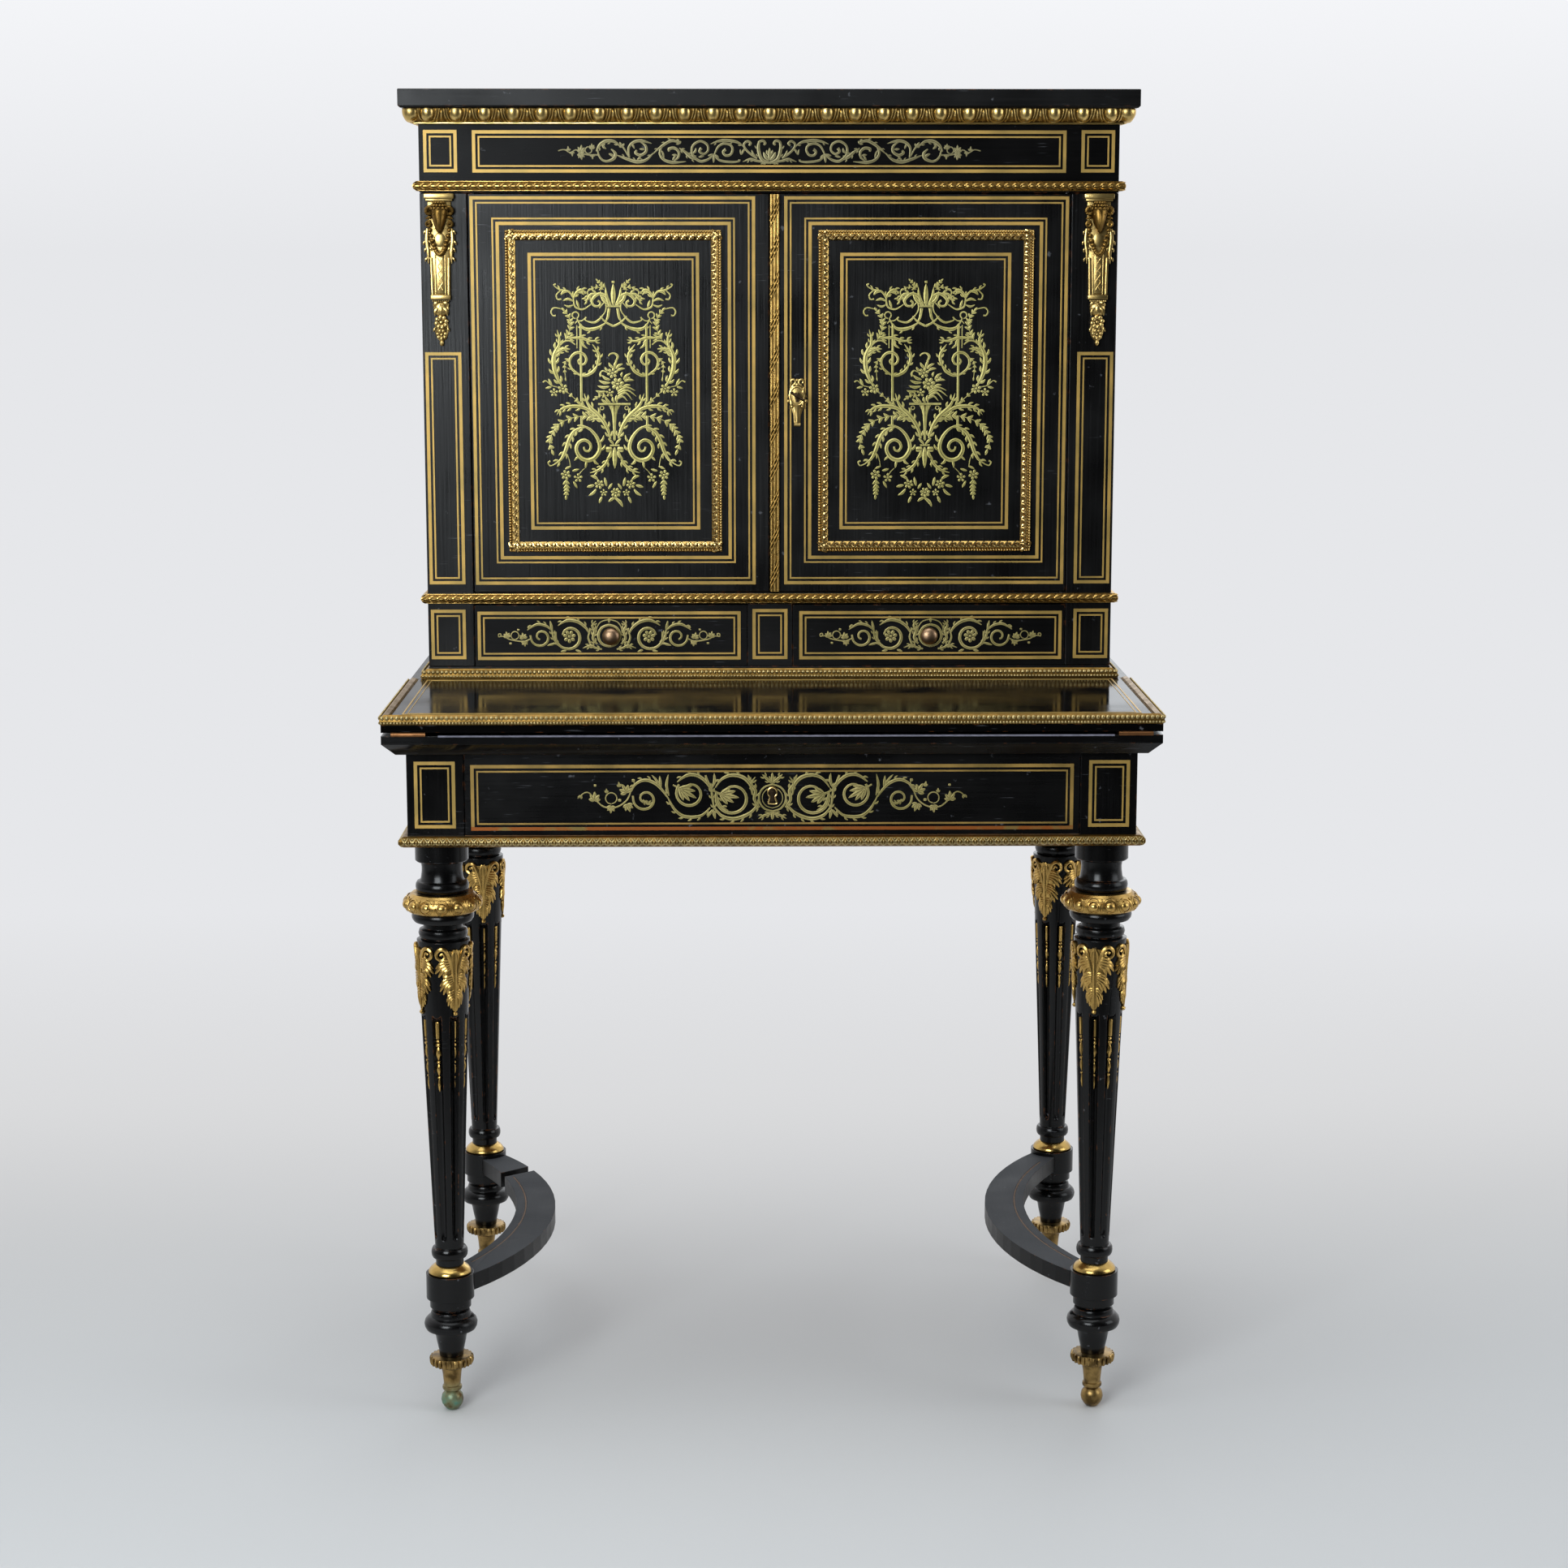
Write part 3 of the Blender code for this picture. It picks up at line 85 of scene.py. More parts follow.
# The studio: the camera as fitted to the photograph, then each lamp's place, aim, size and power.
CAMERA_PLACE = (-0.0297, -3.2013, 1.1862)
CAMERA_TILT = 0.1742
CAMERA_TURN = -0.0139
CAMERA_LENS = 69.45
LAMPS = (
    ("left_window", (-1.3, -3.0, 1.68), (0.0, 0.0, 0.85), 1.5, 74.0),
    ("right_bounce", (3.0, -0.9, 1.5), (0.0, 0.0, 0.7), 1.6, 20.0),
    ("ceiling", (-0.4, -0.6, 3.3), (0.0, 0.0, 0.0), 2.4, 40.0),
    ("rear_bounce", (0.6, 2.8, 1.8), (0.0, 0.0, 0.8), 2.0, 14.0),
)
LAMP_TINT = (0.9, 0.96, 1.0)
ROOM_PALE = "#e6e7ea"
ROOM_DARK = "#1c1d20"


def colour(code):
    """The linear colour of an sRGB hex value."""
    shares = [int(code[i:i + 2], 16) / 255 for i in (1, 3, 5)]
    return [s / 12.92 if s <= 0.04045 else ((s + 0.055) / 1.055) ** 2.4 for s in shares] + [1.0]


def feed(tree, node, inputs):
    """Set or link inputs of a node."""
    for key, value in inputs.items():
        if isinstance(value, bpy.types.NodeSocket):
            tree.links.new(value, node.inputs[key])
        else:
            node.inputs[key].default_value = value


def put(tree, kind, settings, inputs):
    """Add a node with its settings, and set or link its inputs."""
    node = tree.nodes.new("ShaderNode" + kind)
    for key, value in settings.items():
        setattr(node, key, value)
    feed(tree, node, inputs)
    return node


def new_finish(name):
    """An empty finish, its node tree and its shader."""
    finish = bpy.data.materials.new(name)
    finish.use_nodes = True
    tree = finish.node_tree
    return finish, tree, tree.nodes["Principled BSDF"]


def ebonised_wood(name, along, gloss, box_from=None, dust=0.0, mirror=0.27, brushed=0.1):
    """Pear wood stained black and French polished.

    The polish gives a soft sheen with cloudy dull spots, the grain shows as faint streaks along the board,
    a few pale scratches cross it, and the stain has rubbed through to orange-brown wood at the edges. The
    grain is drawn coarser than the real half millimetre, so that it shows. Dust greys the tops of low
    boards. Drawer boxes behind box_from are bare wood.
    """
    finish, tree, shader = new_finish(name)
    place = put(tree, "TexCoord", {}, {}).outputs["Object"]
    grain_width, grain_length = 2.2 * MM, 90 * MM
    pull = [1.0 / grain_width] * 3
    pull[along] = 1.0 / grain_length
    streaks = put(tree, "Mapping", {}, {"Vector": place, "Scale": pull}).outputs["Vector"]
    grain = put(tree, "TexNoise", {}, {"Vector": streaks, "Scale": 1.0, "Detail": 3.0}).outputs[0]
    clouds = put(tree, "TexNoise", {}, {"Vector": place, "Scale": 1 / (70 * MM),
                                        "Detail": 5.0}).outputs[0]
    flakes = put(tree, "TexNoise", {}, {"Vector": place, "Scale": 1 / (9 * MM), "Detail": 4.0}).outputs[0]
    rounded = put(tree, "Bevel", {"samples": 4}, {"Radius": 1.4 * MM}).outputs[0]
    true = put(tree, "NewGeometry", {}, {}).outputs["Normal"]
    match = put(tree, "VectorMath", {"operation": "DOT_PRODUCT"}, {0: rounded, 1: true}).outputs["Value"]
    edge = put(tree, "MapRange", {}, {"Value": match, "From Min": 0.985, "From Max": 0.85}).outputs[0]
    chipped = put(tree, "MapRange", {}, {"Value": flakes, "From Min": 0.56, "From Max": 0.64}).outputs[0]
    worn = put(tree, "Math", {"operation": "MULTIPLY"}, {0: edge, 1: chipped}).outputs[0]
    nicks = put(tree, "MapRange", {}, {"Value": flakes, "From Min": 0.7, "From Max": 0.76}).outputs[0]
    slant = put(tree, "Mapping", {}, {"Vector": place, "Rotation": (0.5, 0.7, 0.4),
                                      "Scale": (1 / (26 * MM), 1 / (1.4 * MM),
                                                1 / (1.4 * MM))}).outputs["Vector"]
    strokes = put(tree, "TexNoise", {}, {"Vector": slant, "Scale": 1.0, "Detail": 1.0}).outputs[0]
    patches = put(tree, "MapRange", {}, {"Value": clouds, "From Min": 0.52, "From Max": 0.66}).outputs[0]
    strokes = put(tree, "MapRange", {}, {"Value": strokes, "From Min": 0.69, "From Max": 0.78}).outputs[0]
    scratches = put(tree, "Math", {"operation": "MULTIPLY"}, {0: strokes, 1: patches}).outputs[0]
    marks = put(tree, "Math", {"operation": "MAXIMUM"}, {0: nicks, 1: scratches}).outputs[0]
    stain = put(tree, "Mix", {"data_type": "RGBA"}, {0: grain, 6: colour("#030303"),
                                                     7: colour("#0e0d0d")}).outputs[2]
    stain = put(tree, "Mix", {"data_type": "RGBA"}, {0: marks, 6: stain, 7: colour("#55565a")}).outputs[2]
    bare = put(tree, "Mix", {"data_type": "RGBA"}, {0: worn, 6: stain, 7: colour("#7a4720")}).outputs[2]
    sheen = put(tree, "MapRange", {}, {"Value": clouds, "From Min": 0.3, "From Max": 0.7,
                                       "To Min": gloss - 0.09, "To Max": gloss + 0.07}).outputs[0]
    sheen = put(tree, "Math", {"operation": "MULTIPLY_ADD"}, {0: grain, 1: 0.1, 2: sheen}).outputs[0]
    if dust:
        upward = put(tree, "SeparateXYZ", {}, {0: true}).outputs["Z"]
        lying = put(tree, "MapRange", {}, {"Value": upward, "From Min": 0.6, "From Max": 0.95,
                                           "To Max": dust}).outputs[0]
        bare = put(tree, "Mix", {"data_type": "RGBA"}, {0: lying, 6: bare,
                                                        7: colour("#6a6d72")}).outputs[2]
        sheen = put(tree, "Math", {"operation": "ADD"}, {0: lying, 1: sheen}).outputs[0]
    if box_from is not None:
        depth = put(tree, "SeparateXYZ", {}, {0: place}).outputs["Y"]
        inside = put(tree, "Math", {"operation": "GREATER_THAN"}, {0: depth, 1: box_from * MM}).outputs[0]
        oak = put(tree, "Mix", {"data_type": "RGBA"}, {0: grain, 6: colour("#8a6238"),
                                                       7: colour("#b98f5d")}).outputs[2]
        bare = put(tree, "Mix", {"data_type": "RGBA"}, {0: inside, 6: bare, 7: oak}).outputs[2]
        sheen = put(tree, "Math", {"operation": "MULTIPLY_ADD"},
                    {0: inside, 1: 0.35, 2: sheen}).outputs[0]
    relief = put(tree, "Bump", {}, {"Strength": brushed, "Distance": 0.3 * MM, "Height": grain,
                                    "Normal": rounded}).outputs[0]
    feed(tree, shader, {"Base Color": bare, "Roughness": sheen, "Normal": relief,
                        "Specular IOR Level": mirror})
    return finish


def plain_wood():
    """Bare oak of boards that are seldom seen: straight brown streaks, open pores and no polish."""
    finish, tree, shader = new_finish("bare_oak")
    place = put(tree, "TexCoord", {}, {}).outputs["Object"]
    streaks = put(tree, "Mapping", {}, {"Vector": place, "Scale": [1 / (60 * MM), 1 / (3 * MM),
                                                                   1 / (3 * MM)]}).outputs[0]
    grain = put(tree, "TexNoise", {}, {"Vector": streaks, "Scale": 1.0, "Detail": 4.0}).outputs[0]
    tone = put(tree, "Mix", {"data_type": "RGBA"}, {0: grain, 6: colour("#6d4a28"),
                                                    7: colour("#a67d4e")}).outputs[2]
    relief = put(tree, "Bump", {}, {"Strength": 0.15, "Distance": 0.3 * MM, "Height": grain}).outputs[0]
    feed(tree, shader, {"Base Color": tone, "Roughness": 0.68, "Normal": relief})
    return finish


def bare_wood_and_painted_highlight(name, dark, pale):
    """Pear wood bare of its polish where it is cut: dull, with darker flecks. In pale tones it serves as a
    painted highlight along an edge.
    """
    finish, tree, shader = new_finish(name)
    place = put(tree, "TexCoord", {}, {}).outputs["Object"]
    flecks = put(tree, "TexNoise", {}, {"Vector": place, "Scale": 1 / (6 * MM), "Detail": 4.0}).outputs[0]
    tone = put(tree, "Mix", {"data_type": "RGBA"}, {0: flecks, 6: colour(dark),
                                                    7: colour(pale)}).outputs[2]
    feed(tree, shader, {"Base Color": tone, "Roughness": 0.7})
    return finish


def gilded_bronze(name, bright, hollow, rough):
    """Cast bronze, chased and fire gilded: bright rubbed crests, and hollows darkened by ambient occlusion,
    which is painted shade together with brown grime.
    """
    finish, tree, shader = new_finish(name)
    place = put(tree, "TexCoord", {}, {}).outputs["Object"]
    grime = put(tree, "TexNoise", {}, {"Vector": place, "Scale": 1 / (11 * MM), "Detail": 5.0}).outputs[0]
    chasing = put(tree, "TexNoise", {}, {"Vector": place, "Scale": 1 / (1.6 * MM),
                                         "Detail": 2.0}).outputs[0]
    # Ambient occlusion pulls the hollows towards the hollow colour: painted shade, together with the patchy
    # grime below.
    occlusion_shade = put(tree, "AmbientOcclusion", {"samples": 6}, {"Distance": 4 * MM}).outputs["AO"]
    crest_light_and_rubbing = put(tree, "MapRange", {}, {"Value": occlusion_shade, "From Min": 0.25,
                                        "From Max": 0.8}).outputs[0]
    patchy = put(tree, "MapRange", {}, {"Value": grime, "From Min": 0.25, "From Max": 0.6,
                                        "To Min": 0.55}).outputs[0]
    lit_and_grime_free = put(tree, "Math", {"operation": "MULTIPLY"}, {0: crest_light_and_rubbing, 1: patchy}).outputs[0]
    tone = put(tree, "Mix", {"data_type": "RGBA"}, {0: lit_and_grime_free, 6: colour(hollow),
                                                    7: colour(bright)}).outputs[2]
    dull = put(tree, "MapRange", {}, {"Value": lit_and_grime_free, "To Min": rough + 0.3, "To Max": rough}).outputs[0]
    relief = put(tree, "Bump", {}, {"Strength": 0.25, "Distance": 0.25 * MM,
                                    "Height": chasing}).outputs[0]
    feed(tree, shader, {"Base Color": tone, "Metallic": 1.0, "Roughness": dull, "Normal": relief})
    return finish


def inlaid_brass(name, warm, dim, engraved=False, lost_at=None):
    """Sheet brass let into the wood and scraped flush: olive, clouded with tarnish.

    Engraved brass has a dark line down the middle of each leaf and stem and slanting ones to its edges, laid
    along the stroke by its own UV map. At the height lost_at most of the brass has come away and orange raw
    wood shows in its bed.
    """
    finish, tree, shader = new_finish(name)
    coords = put(tree, "TexCoord", {}, {})
    place = coords.outputs["Object"]
    tarnish = put(tree, "TexNoise", {}, {"Vector": place, "Scale": 1 / (30 * MM),
                                         "Detail": 4.0}).outputs[0]
    shade = put(tree, "MapRange", {}, {"Value": tarnish, "From Min": 0.35, "From Max": 0.65}).outputs[0]
    tone = put(tree, "Mix", {"data_type": "RGBA"}, {0: shade, 6: colour(dim), 7: colour(warm)}).outputs[2]
    if engraved:
        axes = put(tree, "SeparateXYZ", {}, {0: coords.outputs["UV"]})
        around = put(tree, "Math", {"operation": "SUBTRACT"},
                     {0: axes.outputs["Y"], 1: 1 / 12}).outputs[0]
        across = put(tree, "Math", {"operation": "PINGPONG"}, {0: around, 1: 0.5}).outputs[0]
        rib = put(tree, "MapRange", {}, {"Value": across, "From Min": 0.014,
                                         "From Max": 0.032}).outputs[0]
        along = put(tree, "Math", {"operation": "MULTIPLY"}, {0: axes.outputs["X"], 1: 5.0}).outputs[0]
        slant = put(tree, "Math", {"operation": "MULTIPLY_ADD"},
                    {0: across, 1: -6.0, 2: along}).outputs[0]
        vein = put(tree, "Math", {"operation": "FRACT"}, {0: slant}).outputs[0]
        vein = put(tree, "MapRange", {}, {"Value": vein, "From Min": 0.0, "From Max": 0.3,
                                          "To Min": 0.45}).outputs[0]
        cut = put(tree, "Math", {"operation": "MULTIPLY"}, {0: rib, 1: vein}).outputs[0]
        tone = put(tree, "Mix", {"data_type": "RGBA"}, {0: cut, 6: colour("#4a4018"), 7: tone}).outputs[2]
    if lost_at is not None:
        height = put(tree, "SeparateXYZ", {}, {0: place}).outputs["Z"]
        near = put(tree, "Math", {"operation": "COMPARE"}, {0: height, 1: lost_at * MM,
                                                            2: 2.2 * MM}).outputs[0]
        gaps = put(tree, "MapRange", {}, {"Value": tarnish, "From Min": 0.34,
                                          "From Max": 0.44}).outputs[0]
        lost = put(tree, "Math", {"operation": "MULTIPLY"}, {0: near, 1: gaps}).outputs[0]
        tone = put(tree, "Mix", {"data_type": "RGBA"}, {0: lost, 6: tone,
                                                        7: colour("#a85f26")}).outputs[2]
    dull = put(tree, "MapRange", {}, {"Value": tarnish, "To Min": 0.34, "To Max": 0.52}).outputs[0]
    feed(tree, shader, {"Base Color": tone, "Metallic": 0.5, "Roughness": dull})
    return finish


def foot_brass():
    """Turned brass of the feet, dulled by handling, with green verdigris low on the front left foot."""
    finish, tree, shader = new_finish("worn_brass")
    place = put(tree, "TexCoord", {}, {}).outputs["Object"]
    spots = put(tree, "TexNoise", {}, {"Vector": place, "Scale": 1 / (12 * MM), "Detail": 6.0}).outputs[0]
    axes = put(tree, "SeparateXYZ", {}, {0: place})
    low = put(tree, "MapRange", {}, {"Value": axes.outputs["Z"], "From Min": 34 * MM,
                                     "From Max": 12 * MM}).outputs[0]
    left = put(tree, "MapRange", {}, {"Value": axes.outputs["X"], "From Min": -200 * MM,
                                      "From Max": -300 * MM}).outputs[0]
    front = put(tree, "MapRange", {}, {"Value": axes.outputs["Y"], "From Min": 0.0,
                                       "From Max": -100 * MM}).outputs[0]
    corner = put(tree, "Math", {"operation": "MULTIPLY"}, {0: left, 1: front}).outputs[0]
    green = put(tree, "Math", {"operation": "MULTIPLY"}, {0: low, 1: corner}).outputs[0]
    mottled = put(tree, "MapRange", {}, {"Value": spots, "From Min": 0.35, "From Max": 0.6}).outputs[0]
    green = put(tree, "Math", {"operation": "MULTIPLY"}, {0: green, 1: mottled}).outputs[0]
    tone = put(tree, "Mix", {"data_type": "RGBA"}, {0: mottled, 6: colour("#5d4a2c"),
                                                    7: colour("#a88a55")}).outputs[2]
    tone = put(tree, "Mix", {"data_type": "RGBA"}, {0: green, 6: tone, 7: colour("#4f7d68")}).outputs[2]
    metal = put(tree, "Math", {"operation": "SUBTRACT"}, {0: 1.0, 1: green}).outputs[0]
    dull = put(tree, "MapRange", {}, {"Value": spots, "To Min": 0.22, "To Max": 0.5}).outputs[0]
    feed(tree, shader, {"Base Color": tone, "Metallic": metal, "Roughness": dull})
    return finish


def dark_steel():
    """Forged steel of the lock and key, browned by handling: dark, with brighter rubbed spots."""
    finish, tree, shader = new_finish("browned_steel")
    place = put(tree, "TexCoord", {}, {}).outputs["Object"]
    spots = put(tree, "TexNoise", {}, {"Vector": place, "Scale": 1 / (5 * MM), "Detail": 4.0}).outputs[0]
    tone = put(tree, "Mix", {"data_type": "RGBA"}, {0: spots, 6: colour("#15110d"),
                                                    7: colour("#5a4a3a")}).outputs[2]
    dull = put(tree, "MapRange", {}, {"Value": spots, "To Min": 0.55, "To Max": 0.3}).outputs[0]
    feed(tree, shader, {"Base Color": tone, "Metallic": 1.0, "Roughness": dull})
    return finish


UPRIGHT = ebonised_wood("ebonised_pear_upright", 2, 0.28, mirror=0.3, brushed=0.45)
LEG_WOOD = ebonised_wood("ebonised_pear_turned", 2, 0.17)
ACROSS = ebonised_wood("ebonised_pear_across", 0, 0.32)
LOW_BOARD = ebonised_wood("ebonised_pear_low", 0, 0.2)
DEPTHWISE = ebonised_wood("ebonised_pear_depthwise", 1, 0.34)
DUSTY = ebonised_wood("dusty_ebonised_pear", 1, 0.34, dust=0.35)
POLISHED = ebonised_wood("ebonised_pear_polished", 0, 0.09, mirror=0.03)
FRIEZE_BOARD = ebonised_wood("ebonised_frieze", 0, 0.3, mirror=0.09)
SMALL_DRAWER = ebonised_wood("ebonised_drawer", 0, 0.32, box_from=35.0, mirror=0.18)
FRIEZE_DRAWER = ebonised_wood("ebonised_frieze_drawer", 0, 0.22, box_from=-219.0)
OAK = plain_wood()
RAW_WOOD = bare_wood_and_painted_highlight("raw_pear", "#3c2f24", "#97765a")
# A pale grey finish for the lower slab's front edge: a painted highlight along it.
SLAB_EDGE_HIGHLIGHT = bare_wood_and_painted_highlight("painted_highlight_slab_edge", "#4c4b57", "#8e8d9c")
GILT = gilded_bronze("gilded_bronze", "#d3ac62", "#33240e", 0.25)
FRAME_GILT = gilded_bronze("frame_gilding", "#fcd98c", "#86571b", 0.22)
BRIGHT_GILT = gilded_bronze("bright_gilding", "#ebc97e", "#4a3414", 0.28)
# Dark bronze of the ram's heads and of the mouldings under the carvings; on the astragal ribbons its
# darkness is painted shade of the wraps.
GROUND = gilded_bronze("patinated_bronze_and_painted_shade", "#8c6c36", "#241807", 0.34)
MUTED_GILT = gilded_bronze("muted_gilding", "#c4ad76", "#261d0d", 0.3)
DULL_BRONZE = gilded_bronze("rubbed_bronze", "#a98a6c", "#5a4636", 0.36)
RING_BRASS = gilded_bronze("polished_brass", "#cba962", "#5a3d14", 0.19)
HINGE_BRASS = gilded_bronze("hinge_brass", "#8a5f3c", "#3a2412", 0.36)
STRINGING = inlaid_brass("inlaid_brass_stringing", "#d2aa5a", "#b29450")
# A dimmer copy of the stringing for the frieze drawer: its darker tones are painted shade of the low front;
# the brass lost at one height is real wear.
FRIEZE_STRINGING = inlaid_brass("worn_and_shaded_brass_stringing", "#bd9850", "#967c43", lost_at=619.9)
MARQUETRY = inlaid_brass("engraved_brass_marquetry", "#e4d888", "#c8bd6e", engraved=True)
# Dimmer copies of the marquetry brass for the drawers and for the top frieze.
DRAWER_MARQUETRY = inlaid_brass("dimmer_drawer_brass_marquetry", "#c8b877", "#ab9f60", engraved=True)
FRIEZE_MARQUETRY = inlaid_brass("dimmer_frieze_brass_marquetry", "#a39a6e", "#8b835c", engraved=True)
FOOT_BRASS = foot_brass()
STEEL = dark_steel()


def begin():
    """Leave edit mode and let go of everything."""
    if bpy.context.mode != "OBJECT":
        bpy.ops.object.mode_set(mode="OBJECT")
    bpy.ops.object.select_all(action="DESELECT")


def take(piece):
    """Hold one piece alone."""
    begin()
    piece.select_set(True)
    bpy.context.view_layer.objects.active = piece


def edit(piece):
    """Open a piece in edit mode with everything on it selected."""
    take(piece)
    bpy.ops.object.mode_set(mode="EDIT")
    bpy.ops.mesh.select_all(action="SELECT")


def closed(piece):
    """Merge double points and turn every face outwards."""
    edit(piece)
    bpy.ops.mesh.remove_doubles(threshold=1e-6)
    bpy.ops.mesh.normals_make_consistent(inside=False)
    bpy.ops.object.mode_set(mode="OBJECT")
    return piece


def settle(piece):
    """Put a piece's place, turn and size into its mesh."""
    take(piece)
    bpy.ops.object.transform_apply(location=True, rotation=True, scale=True)
    return piece


def moved(piece, change):
    """Move each point of a mesh, in millimetres."""
    for point in piece.data.vertices:
        point.co = Vector(change(*(point.co / MM))) * MM
    return piece


def shifted(piece, x, y, z):
    """Move a whole mesh."""
    return moved(piece, lambda px, py, pz: (px + x, py + y, pz + z))


def copy_of(piece):
    """A copy with its own mesh."""
    take(piece)
    bpy.ops.object.duplicate()
    return bpy.context.object


def joined(pieces):
    """Join pieces into the first."""
    begin()
    for piece in pieces:
        piece.select_set(True)
    bpy.context.view_layer.objects.active = pieces[0]
    if len(pieces) > 1:
        bpy.ops.object.join()
    return pieces[0]


def mirrored(piece):
    """A copy on the other side of the middle."""
    other = moved(copy_of(piece), lambda x, y, z: (-x, y, z))
    return closed(other)


def finish_piece(piece, name, finish, body, replaced=(), angle=40):
    """Name a piece, give it its finish and shading, and hang it on its body."""
    take(piece)
    bpy.ops.object.shade_smooth_by_angle(angle=math.radians(angle))
    piece.name = name
    piece.data.materials.clear()
    piece.data.materials.append(finish)
    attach(piece, body)
    if replaced:
        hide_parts(*replaced)
    return piece


def ball(x, y, z, width, depth, height, around=8, rings=6):
    """A bead, given by its middle and its half sizes."""
    begin()
    bpy.ops.mesh.primitive_uv_sphere_add(segments=around, ring_count=rings, radius=1.0)
    bead = bpy.context.object
    return moved(bead, lambda px, py, pz: (x + px * MM * width, y + py * MM * depth,
                                           z + pz * MM * height))


def block(low, high, edge):
    """A block with softened edges between two corners."""
    begin()
    bpy.ops.mesh.primitive_cube_add(size=1.0)
    body = bpy.context.object
    middle = [(a + b) / 2 for a, b in zip(low, high)]
    size = [b - a for a, b in zip(low, high)]
    moved(body, lambda x, y, z: [m + p * MM * s for m, p, s in zip(middle, (x, y, z), size)])
    edit(body)
    bpy.ops.mesh.bevel(offset=edge * MM, segments=2, affect="EDGES")
    bpy.ops.object.mode_set(mode="OBJECT")
    return body


def row_of(unit, count, step):
    """A row of copies of a unit along x."""
    take(unit)
    bpy.ops.object.modifier_add(type="ARRAY")
    row = unit.modifiers[-1]
    row.use_relative_offset = False
    row.use_constant_offset = True
    row.constant_offset_displace = (step * MM, 0.0, 0.0)
    row.count = count
    bpy.ops.object.modifier_apply(modifier=row.name)
    return unit


def cut_out(piece, cutter, solver):
    """Cut a shape out of a piece, and drop the cutter."""
    take(piece)
    bpy.ops.object.modifier_add(type="BOOLEAN")
    cut = piece.modifiers[-1]
    cut.operation = "DIFFERENCE"
    cut.solver = solver
    cut.object = cutter
    bpy.ops.object.modifier_apply(modifier=cut.name)
    bpy.data.objects.remove(cutter)
    return piece


def turned(profile, steps):
    """A piece turned on the lathe round the z axis, from a profile of radius and height."""
    begin()
    bpy.ops.mesh.primitive_plane_add(size=MM, location=(profile[0][0] * MM, 0.0, profile[0][1] * MM))
    piece = settle(bpy.context.object)
    edit(piece)
    bpy.ops.mesh.merge(type="CENTER")
    for (r0, z0), (r1, z1) in zip(profile, profile[1:]):
        step = ((r1 - r0) * MM, 0.0, (z1 - z0) * MM)
        bpy.ops.mesh.extrude_vertices_move(TRANSFORM_OT_translate={"value": step})
    bpy.ops.mesh.select_all(action="SELECT")
    bpy.ops.mesh.spin(steps=steps, angle=math.tau, center=(0, 0, 0), axis=(0, 0, 1))
    bpy.ops.object.mode_set(mode="OBJECT")
    return closed(piece)


def wrapped(piece, radius, turn=0.0):
    """Lay a flat piece round the z axis, on a surface whose radius depends on the height."""
    def round_axis(x, y, z):
        angle = math.radians(turn) + x / radius(z)
        reach = radius(z) - y
        return reach * math.sin(angle), -reach * math.cos(angle), z
    return moved(piece, round_axis)


def set_round(piece, x, y, turn):
    """Turn a mesh about the z axis and move it to a leg."""
    c, s = math.cos(math.radians(turn)), math.sin(math.radians(turn))
    return moved(piece, lambda px, py, pz: (x + c * px - s * py, y + s * px + c * py, pz))


def line(points, widths, steps=4):
    """A stroke: a smooth curve through points, with half widths spread evenly along it."""
    last = len(points) - 1
    path = []
    for i in range(last):
        before, here, there, after = (Vector(points[min(max(k, 0), last)]) for k in (i - 1, i, i + 1,
                                                                                     i + 2))
        for step in range(steps):
            t = step / steps
            path.append(0.5 * (2 * here + (there - before) * t
                               + (2 * before - 5 * here + 4 * there - after) * t ** 2
                               + (3 * here - before - 3 * there + after) * t ** 3))
    path.append(Vector(points[last]))
    stroke = []
    for i, spot in enumerate(path):
        share = i / (len(path) - 1) * (len(widths) - 1)
        low = min(int(share), len(widths) - 2)
        stroke.append((spot, widths[low] + (share - low) * (widths[low + 1] - widths[low])))
    return stroke


def leaf(start, tip, width, bow=0.0):
    """A pointed leaf that may bow to its left."""
    a, b = Vector(start), Vector(tip)
    along = b - a
    middle = (a + b) / 2 + Vector((-along.y, along.x)) * bow
    return line([a, middle, b], (0.25 * width, 0.85 * width, width, 0.75 * width, 0.1 * width), 3)


def dot(x, z, size):
    """A round berry."""
    return line([(x - size, z), (x - 0.6 * size, z), (x + 0.6 * size, z), (x + size, z)],
                (0.2 * size, 0.8 * size, size, size, size, 0.8 * size, 0.2 * size), 2)


def flower(x, z, size, petals=6):
    """A flower of round petals about an eye."""
    strokes = [dot(x, z, 0.24 * size)]
    for i in range(petals):
        angle = math.tau * (i + 0.25) / petals
        way = Vector((math.cos(angle), math.sin(angle)))
        base, tip = Vector((x, z)) + way * 0.34 * size, Vector((x, z)) + way * size
        strokes.append(line([base, (base + tip) / 2, tip], (0.12 * size, 0.3 * size, 0.36 * size,
                                                            0.1 * size), 2))
    return strokes


def fan(x, z, way, size, spread, width, count=5):
    """Leaves or petals spread about a way, the middle one longest."""
    strokes = []
    for i in range(count):
        share = 2 * i / (count - 1) - 1
        angle = math.radians(way + spread * share)
        reach = size * (1 - 0.35 * abs(share))
        strokes.append(leaf((x, z), (x + reach * math.cos(angle), z + reach * math.sin(angle)), width))
    return strokes


def spiral(x, z, outer, inner, start, end, widths):
    """A scroll about a middle, between two angles in degrees, closing from outer to inner radius."""
    count = max(4, int(abs(end - start) / 35))
    points = []
    for i in range(count + 1):
        share = i / count
        angle = math.radians(start + share * (end - start))
        reach = outer + share * (inner - outer)
        points.append((x + reach * math.cos(angle), z + reach * math.sin(angle)))
    return line(points, widths, 3)


